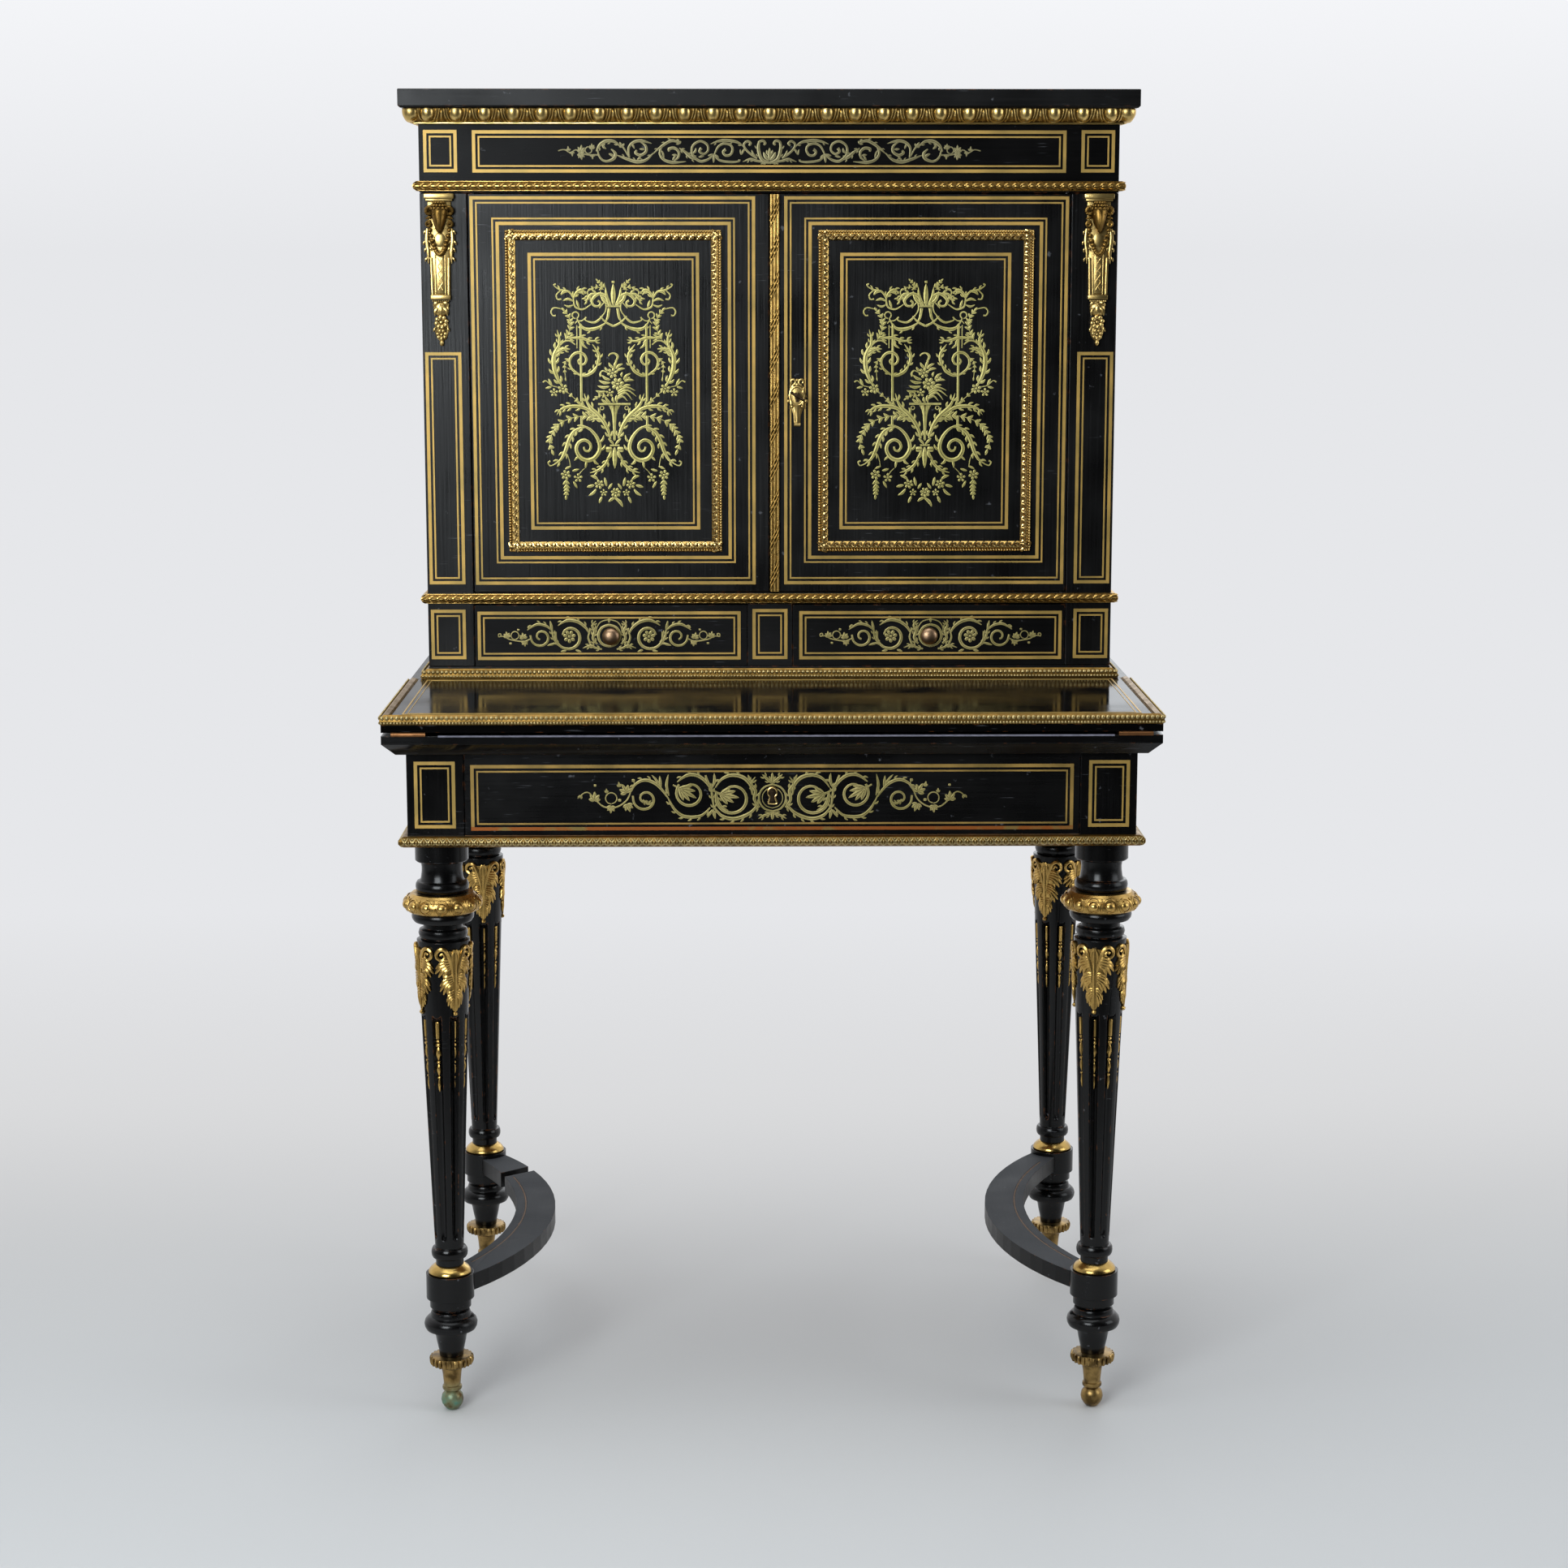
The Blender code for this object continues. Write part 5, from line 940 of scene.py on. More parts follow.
def top_frieze_rinceau():
    """Slim scrolls of the upper frieze about a palmette."""
    half = acanthus([(0, -11.6), (8.1, -8.1), (11.4, 1.0), (11.6, 7.4)], (1.4, 2.2, 2.2, 1.6), 3.4, 3,
                    (-1,))
    half.append(line([(11.4, 5), (10.8, 9.6), (6.6, 10.8), (4.4, 8.2), (6.2, 6.8)],
                     (1.6, 1.6, 1.6, 1.5, 1.2)))
    half += [leaf((0.6, -9), (6.2, -0.6), 2.4, -0.1), leaf((0.4, -4), (3.2, 1.4), 1.6, -0.1)]
    half += acanthus([(2, -11.6), (14, -9.4), (20, -7.8), (28, -10.6)], (1.0, 1.6, 1.6, 0.3), 2.8, 3,
                     (-1,))
    half.append(line([(13, -7), (20, -2.4), (25.4, 3), (26.6, 7.6), (22.8, 10.4), (19.6, 8.2), (21.6, 6)],
                     (1.2, 1.4, 1.4, 1.4, 1.5, 1.5, 1.2)))
    half += [leaf((14, -6.4), (18.6, 1.6), 1.5, -0.1), leaf((24.6, 3), (28.6, -3), 1.4, 0.15),
             leaf((29.6, -3.6), (30.6, 2.2), 1.1)]
    half += acanthus([(27, 5), (34, 9.6), (45.5, 11.2), (54, 10.2), (61.4, 7.6)],
                     (0.6, 1.7, 2.1, 1.5, 0.3), 3.0, 4, (-1,))
    half.append(line([(57.6, -3.4), (53.6, 4.6), (47.6, 8), (40.6, 6.4), (38.4, 1.6), (41, -3.4),
                      (46, -4), (48.4, -0.4), (45.6, 2)], (0.8, 1.4, 1.6, 1.5, 1.5, 1.5, 1.6, 1.6, 2.0)))
    half.append(line([(31.4, -8.2), (32.4, -10.2), (40.6, -10.8), (52, -9), (57.6, -3.4)],
                     (1.4, 1.1, 1.5, 1.5, 0.8)))
    half += [leaf((57.6, -3.4), (58.4, -11.6), 1.7), leaf((57.6, -3), (64.4, -4.4), 1.6),
             leaf((57, -3), (52.6, -6.6), 1.3)]
    half.append(line([(58.4, -4), (65, -8.6), (73, -9.8), (80.4, -3), (80, 5.6), (72.6, 10.4),
                      (65.4, 7.4), (64, 1.2), (68.4, -2.6), (73, 0), (71, 3.4)],
                     (0.8, 1.6, 1.8, 1.6, 1.5, 1.5, 1.5, 1.4, 1.4, 1.6, 2.0)))
    half += acanthus([(94, 3.4), (88, -0.6), (82, -5.6), (74, -9)], (0.5, 1.8, 2.3, 0.8), 3.2, 3)
    half += [leaf((80.4, -2), (76.6, 3.6), 1.6, 0.2), leaf((74, -6), (68, -4.4), 1.5)]
    half += acanthus([(93, 9), (102.3, 10.8), (112, 5.4), (121, -2.2)], (1.2, 2.0, 1.8, 0.5), 3.0, 4,
                     (1,))
    half += fan(94, 7.6, 60, 5.4, 60, 1.3, 3)
    half.append(line([(111, 7), (114.4, -1.6), (110.2, -8.4), (100.7, -11.2), (87, -10.4)],
                     (1.0, 1.5, 1.8, 2.0, 0.3)))
    half.append(line([(100, -10), (95.2, -6), (94.6, -0.6), (99, 3.4), (104.6, 2.6), (104.4, 0)],
                     (0.5, 1.5, 1.7, 1.9, 1.9, 1.2)))
    half += [leaf((96, -4), (101.6, -3.4), 1.5), leaf((101, -9), (97.6, -3.6), 1.4),
             leaf((110, -7), (113.6, 2), 1.2, 0.1)]
    half += acanthus([(121, -1.6), (128.3, -8.4), (138, -10.6), (149.4, -7.4), (159.6, -3.6)],
                     (0.6, 1.8, 2.2, 1.9, 0.3), 3.0, 4, (1,))
    half.append(line([(146, -6.4), (146.6, 3.6), (141.3, 9.4), (133.2, 10.8), (122.6, 8.1)],
                     (0.9, 1.6, 1.9, 2.0, 0.3)))
    half.append(line([(135, 10), (129, 5.6), (128.8, -0.4), (134.4, -3.8), (139.6, -1.6), (138.2, 1.2)],
                     (0.5, 1.6, 1.8, 1.9, 1.8, 1.2)))
    half += [leaf((130, 2), (135.6, 2.6), 1.5), leaf((138, -9), (133.6, -4.6), 1.4),
             leaf((143, 8), (140.6, 2.6), 1.3)]
    half.append(line([(147, -5), (150, 0.6), (153.4, 5.6)], (0.8, 1.0, 1.2)))
    half += fan(153, 5, 55, 5.6, 62, 1.4, 3)
    half += acanthus([(155.6, 5.4), (162, 10.2), (170.5, 10.4), (177, 6.2), (180.4, 0)],
                     (0.8, 1.8, 2.3, 2.0, 0.6), 3.2, 4, (-1,))
    half.append(line([(179, 1.6), (177.6, -4.4), (174, -8.8), (168.6, -10), (162, -7), (160.8, -1.8),
                      (165, 2.4)], (0.8, 1.2, 1.4, 1.6, 2.2, 2.0, 0.6)))
    half += [leaf((162, -6), (167.6, -2.4), 1.7, 0.1), leaf((174, 8), (170, 2.4), 1.6, 0.15)]
    half.append(line([(177, -3.6), (184, -3.6), (190, -3.4), (197, -1), (201.6, 1.6), (207.6, -1.2),
                      (213.6, 1.8), (220, 0.6)], (0.9, 0.8, 0.7, 0.6)))
    half.append(spiral(188.4, 1.2, 3.6, 3.3, -90, 265, (0.6, 0.7, 0.6)))
    half += fan(196.4, -1, 95, 7.6, 66, 1.6) + fan(196.4, -2, 262, 6.8, 70, 1.6)
    half += fan(209.4, 0.8, 85, 4.6, 60, 1.2, 3)
    half += fan(205.6, -0.6, 265, 4.6, 60, 1.2, 3) + fan(184.6, 2.6, 85, 5.4, 64, 1.3)
    half += fan(184.4, -3.6, 268, 4.6, 60, 1.2, 3)
    return both_ways(half) + [leaf((0, -9), (0, 3.6), 2.4)]


def marquetry():
    """All the engraved brass ornament."""
    for sign, side in ((-1, "left"), (1, "right")):
        inlay(side + "_door_marquetry", door_arabesque(), sign * 164.2, 1039.2, CABINET_FACE,
              side + "_door", MARQUETRY)
        inlay(side + "_drawer_marquetry", small_drawer_rinceau(), sign * 172.0, SMALL_DRAWER_Z,
              CABINET_FACE, side + "_drawer", DRAWER_MARQUETRY)
    inlay("frieze_drawer_marquetry", frieze_drawer_rinceau(), 0.0, 653.0, APRON_FACE, "frieze_drawer",
          DRAWER_MARQUETRY)
    inlay("top_frieze_marquetry", top_frieze_rinceau(), 0.0, 1289.0, CABINET_FACE, "desk",
          FRIEZE_MARQUETRY)


def trim(unit, pitch, half, front, back, reach):
    """Copies of a unit along the front and both sides of a moulding, as one piece."""
    wide = 2 * (half + reach)
    count = round(wide / pitch)
    step = wide / count
    ahead = shifted(row_of(copy_of(unit), count, step), -half - reach + step / 2, front, 0.0)
    deep = back - front + reach
    side_count = round(deep / pitch)
    side_step = deep / side_count
    left = row_of(unit, side_count, side_step)
    right = copy_of(left)
    moved(left, lambda x, y, z: (y - half, back - x - side_step / 2, z))
    moved(right, lambda x, y, z: (half - y, front - reach + x + side_step / 2, z))
    return joined([ahead, left, right])


def laid_on(piece, section):
    """Push ornament out by the section of the moulding that it sits on, given as heights and reaches."""
    def out(x, y, z):
        for (z0, r0), (z1, r1) in zip(section, section[1:]):
            if z <= z1 or (z1, r1) == section[-1]:
                share = min(max((z - z0) / (z1 - z0), 0.0), 1.0)
                return x, y - r0 - share * (r1 - r0), z
    return moved(piece, out)


def cornice_carving():
    """Eggs in rims with leaf darts on the cornice."""
    egg = moved(ball(0, -10.0, 1329.4, 7.7, 7.0, 10.8, 20, 18), lambda x, y, z: (x, y, min(z, EGG_TOP)))
    rims = [line([(-9.3, 1332), (-9.0, 1326.4), (-6.6, 1320.8), (0, 1318.4), (6.6, 1320.8), (9.0, 1326.4),
                  (9.3, 1332)], (0.9, 0.9))]
    husk = [line([(12.6, 1332), (12.0, 1327), (10.6, 1322.4), (8.4, 1319.2)], (0.9, 1.1, 0.9)),
            leaf((14.6, 1331), (12.8, 1319.4), 1.0, 0.1)]
    husk += [[(Vector((29.7 - spot.x, spot.y)), reach) for spot, reach in stroke] for stroke in husk]
    husk.append(leaf((14.85, 1332), (14.85, 1318.8), 1.5))
    section = [(1316.5, 2.6), (1318.9, 3.3), (1321.3, 8.5), (1326.1, 12.0), (1330.6, 13.0),
               (1332.5, 13.0)]
    unit = joined([egg, laid_on(joined([drawn(rims, 1.6), drawn(husk, 1.6)]), section)])
    carving = trim(unit, 29.7, CABINET_HALF, CABINET_FACE, BACK - 8, 4.0)
    corners = [moved(ball(sign * 371.4, 9.6, 1329.4, 9.4, 9.4, 10.8, 18, 18), lambda x, y,
                     z: (x, y, min(z, EGG_TOP))) for sign in (-1, 1)]
    fillet = [block((-369.4, 11.8, 1316.6), (369.4, 17.0, 1318.7), 0.5)]
    for sign in (-1, 1):
        x0, x1 = sorted((sign * 364.0, sign * 369.4))
        fillet.append(block((x0, 16.0, 1316.6), (x1, BACK, 1318.7), 0.5))
    finish_piece(joined([carving] + corners + fillet), "cornice_carving", BRIGHT_GILT, "desk")


def laurel_bands():
    """Laurel leaves and berries on the two half-round mouldings, between narrow fillets."""
    pieces = []
    for middle in (821.8, 1253.6):
        leaves = drawn([leaf((-5.4, middle), (5.6, middle + 3.8), 1.5, 0.16),
                        leaf((-5.4, middle), (5.6, middle - 3.8), 1.5, -0.16),
                        leaf((-3.0, middle), (5.2, middle), 1.1)], 0.8, 1)
        section = [(middle + 5.1 * math.sin(math.radians(a)),
                    6.5 * math.cos(math.radians(a))) for a in range(-80, 81, 20)]
        pieces.append(trim(laid_on(leaves, section), 8.3, CABINET_HALF, CABINET_FACE, BACK, 5.5))
        for edge in (middle - 5.1, middle + 4.2):
            pieces.append(block((-368.6, 12.4, edge), (368.6, 17.0, edge + 0.9), 0.2))
            for sign in (-1, 1):
                x0, x1 = sorted((sign * 364.0, sign * 368.6))
                pieces.append(block((x0, 16.0, edge), (x1, BACK, edge + 0.9), 0.2))
    finish_piece(joined(pieces), "laurel_bands", GILT, "desk")


def bead_mouldings():
    """Rows of large and small beads under the cabinet and round the writing leaf."""
    base = trim(ball(0, -6.6, 743.0, 2.1, 1.7, 2.3, 8, 5), 4.7, CABINET_HALF, CABINET_FACE, BACK, 7.0)
    under = trim(ball(0, -8.0, 738.8, 1.4, 1.2, 1.4, 8, 5), 3.3, CABINET_HALF, CABINET_FACE, BACK, 7.4)
    finish_piece(joined([base, under]), "base_beads", MUTED_GILT, "desk")
    upper = trim(ball(0, -0.2, 735.2, 2.1, 1.4, 2.2, 8, 5), 4.9, *LEAF_RIM)
    lower = trim(ball(0, -0.2, 730.4, 1.4, 1.1, 1.4, 8, 5), 3.2, *LEAF_RIM)
    finish_piece(joined([upper, lower]), "leaf_beads", MUTED_GILT, "writing_leaf")


def apron_carving():
    """Crossing leaf arcs on the apron's lower moulding."""
    arcs = [line([(-4.4, 603.4), (-1.6, 605.6), (1.2, 608.8), (3.4, 611.8)], (0.9, 1.3, 1.0, 0.4)),
            line([(4.4, 603.4), (1.6, 605.6), (-1.2, 608.8), (-3.4, 611.8)], (0.9, 1.3, 1.0, 0.4)),
            dot(0, 610.6, 0.9), leaf((3.8, 604), (3.8, 609.4), 0.9)]
    unit = drawn(arcs, 0.9, 1)
    section = [(602.0, 3.8), (605.3, 8.1), (608.6, 8.5), (611.9, 6.0), (613.0, 3.4)]
    carving = trim(laid_on(unit, section), 7.6, APRON_HALF, APRON_FACE, 254.0, 6.0)
    finish_piece(carving, "apron_carving", MUTED_GILT, "desk")


def framed(unit, pitch, x0, x1, z0, z1):
    """Copies of a unit round a rectangle, its top always to the outside."""
    sides = []
    for turn in range(4):
        length = (x1 - x0) if turn % 2 == 0 else (z1 - z0)
        count = round(length / pitch)
        step = length / count
        side = shifted(row_of(copy_of(unit), count, step), (step - length) / 2, 0.0, 0.0)
        c, s = round(math.cos(math.radians(90 * turn))), round(math.sin(math.radians(90 * turn)))
        middle = ((x0 + x1) / 2, (z0 + z1) / 2)
        edge = ((z1 - z0) if turn % 2 == 0 else (x1 - x0)) / 2
        moved(side, lambda x, y, z: (middle[0] + c * x + s * (z + edge), y,
                                     middle[1] - s * x + c * (z + edge)))
        sides.append(side)
    bpy.data.objects.remove(unit)
    return joined(sides)


def door_frames():
    """Bead and leaf rows on the bronze frame of each door."""
    beads = framed(ball(0, 11.6, -1.3, 1.3, 1.5, 1.3, 8, 5), 2.9, *DOOR_FRAME)
    leaves = drawn([line([(-4.4, -9.8), (-3.4, -6.8), (-0.8, -5.2), (1.2, -6.2), (0.8, -8.2),
                          (-1.0, -8.4)], (0.8, 1.4, 1.5, 1.3, 1.2, 1.1)),
                    leaf((0.8, -9.8), (4.0, -5.2), 1.7, 0.1), leaf((2.0, -10.0), (4.8, -8.4), 1.3),
                    dot(-3.6, -5.0, 1.0)], 1.1, 1)
    leaves = framed(shifted(leaves, 0.0, 11.2, 0.0), 8.5, *DOOR_FRAME)
    right = joined([beads, leaves])
    left = mirrored(right)
    finish_piece(right, "right_frame_carving", FRAME_GILT, "right_door")
    finish_piece(left, "left_frame_carving", FRAME_GILT, "left_door")


def reeded_astragal():
    """Three reeds bound with ribbon on the meeting edge."""
    reeds = drawn([line([(x, 829), (x, 1040), (x, 1245.2)], (1.7, 1.7)) for x in (1.7, 5.0, 8.3)], 1.0, 3)
    shifted(reeds, 0.0, 12.8, 0.0)
    ribbons = []
    for i in range(11):
        for z, thick in ((841, 0.9), (847, 1.15), (853, 0.9)):
            z += 38.0 * i
            ribbons.append(line([(0.4, z - 9.6), (3.4, z - 3.0), (6.6, z + 3.0), (9.6, z + 9.6)],
                                (0.8 * thick, thick, 0.8 * thick)))
    bands = shifted(drawn(ribbons, 0.7), 0.0, 11.2, 0.0)
    backing = block((0.1, 12.6, 828.8), (9.9, 15.8, 1245.4), 0.4)
    # The ribbons' dark bronze is painted shade between the reeds.
    finish_piece(bands, "astragal_ribbons", GROUND, "right_door")
    piece = joined([reeds, backing])
    finish_piece(piece, "reeded_astragal", GILT, "right_door", ["astragal"])


def lock_plate_and_key():
    """The scrolled keyhole plate of the right door, and the key that stands in it."""
    x, z = 29.0, 1036.6
    rim = []
    for wide, high, thick in ((7.6, 9.8, 1.5), (5.6, 7.6, 0.7)):
        oval = [(x + wide * math.sin(k * math.tau / 16),
                 z - 0.6 + high * math.cos(k * math.tau / 16)) for k in range(17)]
        rim.append(line(oval, (thick, thick)))
    for sign in (-1, 1):
        start, end = (270, -60) if sign > 0 else (-90, 240)
        rim.append(spiral(x + sign * 4.6, z + 14.2, 3.4, 1.6, start, end, (1.5, 1.5, 1.2)))
        rim += [leaf((x + sign * 7.0, z + 9), (x + sign * 10.2, z - 2), 1.8, -0.2 * sign),
                dot(x + sign * 9.2, z - 6.0, 1.7), leaf((x + sign * 8.0, z - 3), (x + sign * 8.4, z - 14),
                                                        1.9, -0.2 * sign),
                dot(x + sign * 5.4, z - 11.6, 1.6), leaf((x + sign * 3.4, z - 11),
                                                         (x + sign * 2.6, z - 27), 1.3, -0.05 * sign)]
    rim += [line([(x, z - 10), (x, z - 18), (x, z - 29)], (4.0, 2.6, 2.0)), dot(x, z + 16.0, 1.6),
            dot(x, z + 11.4, 1.8)]
    rim.append(line([(x - 3.4, z - 30.6), (x, z - 30.6), (x + 3.4, z - 30.6)], (2.0, 2.0)))
    plate = shifted(drawn(rim, 0.8), 0.0, 15.0, 0.0)
    backing = line([(x, z + 13), (x, z + 4), (x, z - 8), (x, z - 20), (x, z - 31)],
                   (4.0, 8.6, 8.0, 4.0, 3.0))
    plate = joined([plate, shifted(drawn([backing], 0.12), 0.0, 15.4, 0.0)])
    finish_piece(plate, "lock_plate", BRIGHT_GILT, "right_door", ["door_escutcheon"])
    # The keyhole is a flat patch of dark steel that stands for the opening: painted shade of the hole.
    well = drawn([line([(x, z + 3), (x, z), (x, z - 4), (x, z - 7)], (2.0, 3.4, 1.8, 1.6))], 0.06)
    finish_piece(shifted(well, 0.0, 14.2, 0.0), "keyhole", STEEL, "right_door")
    shank = turned([(0.0, -3.0), (1.6, -2.6), (2.3, 0.0), (2.3, 36.0), (3.1, 36.6), (3.1, 38.4),
                    (2.2, 39.0), (2.6, 42.0), (2.0, 45.0), (0.0, 46.0)], 16)
    moved(shank, lambda px, py, pz: (px, 44.0 - pz, py))
    bow = drawn([spiral(0, 0, 7.6, 7.6, -90, 270, (1.6, 1.6)), line([(0, -7.6), (0, -10.4)], (2.0, 2.2))],
                0.8)
    moved(bow, lambda px, py, pz: (py, -9.8 - pz, px))
    bit = block((-1.2, 37.5, -7.0), (1.2, 43.5, -1.0), 0.2)
    key = closed(joined([shank, bow, bit]))
    lean = math.radians(-58)
    c, s = math.cos(lean), math.sin(lean)
    moved(key, lambda px, py, pz: (x + c * px + s * pz, py, z - s * px + c * pz))
    finish_piece(key, "steel_key", STEEL, "door_key", ["door_key"])


def keyhole_rim():
    """The brass rim round the frieze drawer's keyhole."""
    rim = drawn([line([(-4.4, 645.4), (-3.2, 649.4), (-2.7, 652.2), (-4.2, 654.4), (-4.4, 657.2),
                       (-3.0, 660.2), (0, 661.4), (3.0, 660.2), (4.4, 657.2), (4.2, 654.4), (2.7, 652.2),
                       (3.2, 649.4), (4.4, 645.4), (0, 645.0), (-4.4, 645.4)], (0.9, 0.9))], 1.0)
    # The dark steel lozenge stands for the keyhole's opening: painted shade of the hole, with a steel pin in
    # it.
    well = joined([drawn([line([(0, 660), (0, 657), (0, 653), (0, 647)], (2.4, 3.6, 2.0, 3.0))], 0.05),
                   ball(0, 0, 657, 1.3, 1.0, 1.3)])
    finish_piece(shifted(rim, 0.0, -239.0, 0.0), "frieze_drawer_rim", FRAME_GILT, "frieze_drawer",
                 ["frieze_drawer_escutcheon"])
    finish_piece(shifted(well, 0.0, -238.4, 0.0), "frieze_drawer_keyhole", STEEL, "frieze_drawer")


def knobs():
    """Turned knobs of the small drawers."""
    profile = [(0.0, 0.0), (5.6, 0.0), (5.6, 1.4), (4.4, 2.4), (4.0, 4.0), (5.4, 5.2), (8.0, 5.8),
               (9.0, 6.8), (9.3, 8.0), (9.1, 9.2), (8.4, 10.4), (7.2, 11.6), (5.6, 12.5), (3.6, 13.1),
               (1.8, 13.4), (0.0, 13.5)]
    for sign, side in ((-1, "left"), (1, "right")):
        knob = turned(profile, 28)
        moved(knob, lambda x, y, z: (sign * KNOB_X + x, CABINET_FACE - z, SMALL_DRAWER_Z + y))
        finish_piece(closed(knob), side + "_bronze_knob", DULL_BRONZE, side + "_drawer",
                     [side + "_knob"])


def shaft_radius(z):
    """Radius of the tapered shaft of a leg at a height."""
    return SHAFT_THIN + SHAFT_SWELL * (z - SHAFT_LOW) / (SHAFT_HIGH - SHAFT_LOW)


def leg_profile():
    """Radius and height of a leg from its top to its toe, its rounds filled in."""
    top = [(0.0, 601.7), (26.8, 601.7), (26.8, 583.7), (25.4, 582.4), (21.3, 582.2), (20.4, 576.0),
           (20.5, 571.7), (21.4, 565.0), (22.5, 562.5), (25.2, 561.6), (26.5, 559.4), (26.9, 556.7),
           (26.4, 553.0), (25.6, 551.7), (22.0, 550.7), (22.0, 530.4)]
    neck = [(30.0, 530.4), (31.1, 528.6), (31.5, 526.2), (31.0, 523.4), (29.0, 520.7), (22.0, 519.4),
            (19.9, 518.2), (19.9, 513.7), (22.6, 513.0), (24.0, 512.2), (25.0, 508.5), (24.0, 504.9),
            (21.5, 503.7), (26.8, 501.8)]
    ankle = [(14.7, 176.7), (17.2, 176.3), (18.3, 174.4), (18.7, 171.1), (18.3, 168.0), (17.2, 166.0),
             (14.2, 165.1), (14.2, 156.1), (19.0, 154.6), (21.3, 151.3), (20.5, 148.8), (24.6, 148.8),
             (24.6, 122.5)]
    toe = [(21.2, 122.5), (21.2, 112.8), (14.7, 112.1), (14.7, 109.2), (19.4, 108.6), (20.4, 106.0),
           (20.5, 102.6), (23.6, 101.6), (26.4, 98.6), (27.4, 95.1), (27.0, 91.6), (25.4, 88.6),
           (19.3, 87.3), (16.2, 82.0), (15.0, 75.1), (13.0, 66.0), (12.4, 60.1), (0.0, 60.1)]
    return top + neck + ankle + toe


def fluted_leg():
    """One turned leg with eight flutes cut in its shaft."""
    leg = turned(leg_profile(), 48)
    cutters = []
    for i in range(FLUTES):
        groove = drawn([line([(0, 424), (0, 421.6), (0, 417), (0, 300), (0, 196), (0, 191), (0, 187)],
                             (1.0, 3.6, 6.0, 5.0, 3.9, 2.6, 1.0))], 1.0, 4)
        cutters.append(wrapped(groove, lambda z: shaft_radius(z) + 1.6, 45.0 * i))
    return cut_out(leg, joined(cutters), "MANIFOLD")


def acanthus_mount():
    """One long bronze leaf of a leg head: volutes, midrib, ribbed lobes and a knobbed tip."""
    strokes = [line([(0, 495), (0, 470), (0, 440), (0, 430)], (1.4, 1.9, 1.6, 1.0)), dot(0, 428.4, 2.2)]
    half = [line([(1.4, 462), (4.2, 478), (6.8, 488), (10.0, 494.6), (14.6, 496.2), (18.6, 492.6),
                  (18.2, 487.4), (13.8, 484.8), (10.6, 488), (12.4, 491.6), (15.0, 490)],
                 (1.0, 1.8, 2.3, 2.4, 2.3, 2.1, 1.9, 1.7, 1.5, 1.4, 1.6))]
    half.append(line([(0.8, 495), (3.4, 489), (4.0, 480)], (1.4, 1.6, 0.8)))
    tiers = (((5.0, 485), ((16.4, 480.4), (19.6, 475.8), (20.0, 470.8), (16.6, 467.0), (11.8, 466.6)),
              2.3), ((3.0, 469), ((12.2, 462.6), (15.0, 457.8), (15.0, 452.4), (11.8, 449.0),
                                  (7.6, 449.2)), 2.1), ((1.8, 453),
                                                        ((7.2, 446.0), (8.4, 441.4), (7.2, 437.0),
                                                         (4.4, 434.2)), 1.7))
    for root, tips, width in tiers:
        for i, tip in enumerate(tips):
            start = (root[0], root[1] - 2.2 * i)
            bend = ((start[0] + tip[0]) / 2 + 1.2, (start[1] + tip[1]) / 2 + 2.4)
            half.append(line([start, bend, tip], (0.6 * width, 0.9 * width, width, 0.3 * width)))
    body = drawn(strokes + both_ways(half), 1.15)
    backing = drawn([line([(0, 494), (0, 486), (0, 474), (0, 464), (0, 456), (0, 446), (0, 440),
                           (0, 431)], (9.0, 13.0, 15.5, 9.5, 12.0, 5.6, 5.6, 1.6))], 0.03)
    shifted(backing, 0.0, -0.6, 0.0)
    return joined([body, backing])


def chandelle():
    """One gilt drop of a flute: a rod with a round head, a bead, husks and a pointed tip."""
    strokes = [line([(0, 420), (0, 418.6), (0, 410), (0, 402)], (1.2, 2.2, 2.2, 2.1)), dot(0, 399.4, 1.8),
               dot(0, 395.2, 2.2), leaf((0, 393.6), (0, 379), 2.4), leaf((-0.4, 392), (-2.3, 384), 1.0),
               leaf((0.4, 392), (2.3, 384), 1.0), dot(0, 377, 1.8), leaf((0, 375.4), (0, 363), 2.1),
               dot(0, 361, 1.5), leaf((0, 360), (0, 346), 1.5)]
    return drawn(strokes, 0.9)


def leg_mounts():
    """Four leaves and eight flute drops of one leg."""
    pieces = []
    for i in range(4):
        pieces.append(wrapped(acanthus_mount(), lambda z: shaft_radius(z) + 0.9, 90.0 * i))
    for i in range(FLUTES):
        pieces.append(wrapped(chandelle(), lambda z: shaft_radius(z) - 2.3, 45.0 * i))
    return joined(pieces)


def egg_collar():
    """The bronze collar: fillets above and below fourteen round eggs in rims, with darts between."""
    ring = turned([(22.3, 530.7), (32.4, 530.7), (35.0, 531.6), (36.8, 533.4), (37.9, 536.4),
                   (38.2, 539.6), (37.6, 542.8), (36.0, 545.6), (33.6, 547.4), (32.6, 548.4),
                   (31.0, 549.9), (22.3, 549.9), (22.3, 530.7)], 56)
    pitch = math.tau * COLLAR_RADIUS / COLLAR_EGGS
    egg = ball(0, 0.6, 539.8, 5.4, 3.4, 5.4, 14, 10)
    rim = drawn([spiral(0, 539.8, 7.2, 7.2, -90, 262, (0.8, 0.9, 0.8)),
                 leaf((pitch / 2, 533.6), (pitch / 2, 545.6), 1.3), dot(pitch / 2, 546, 1.1)], 0.9, 1)
    unit = moved(joined([egg, rim]), lambda x, y, z: (x, y + 0.048 * (z - 539.0) ** 2, z))
    eggs = wrapped(row_of(unit, COLLAR_EGGS, pitch), lambda z: COLLAR_RADIUS)
    return joined([ring, eggs])


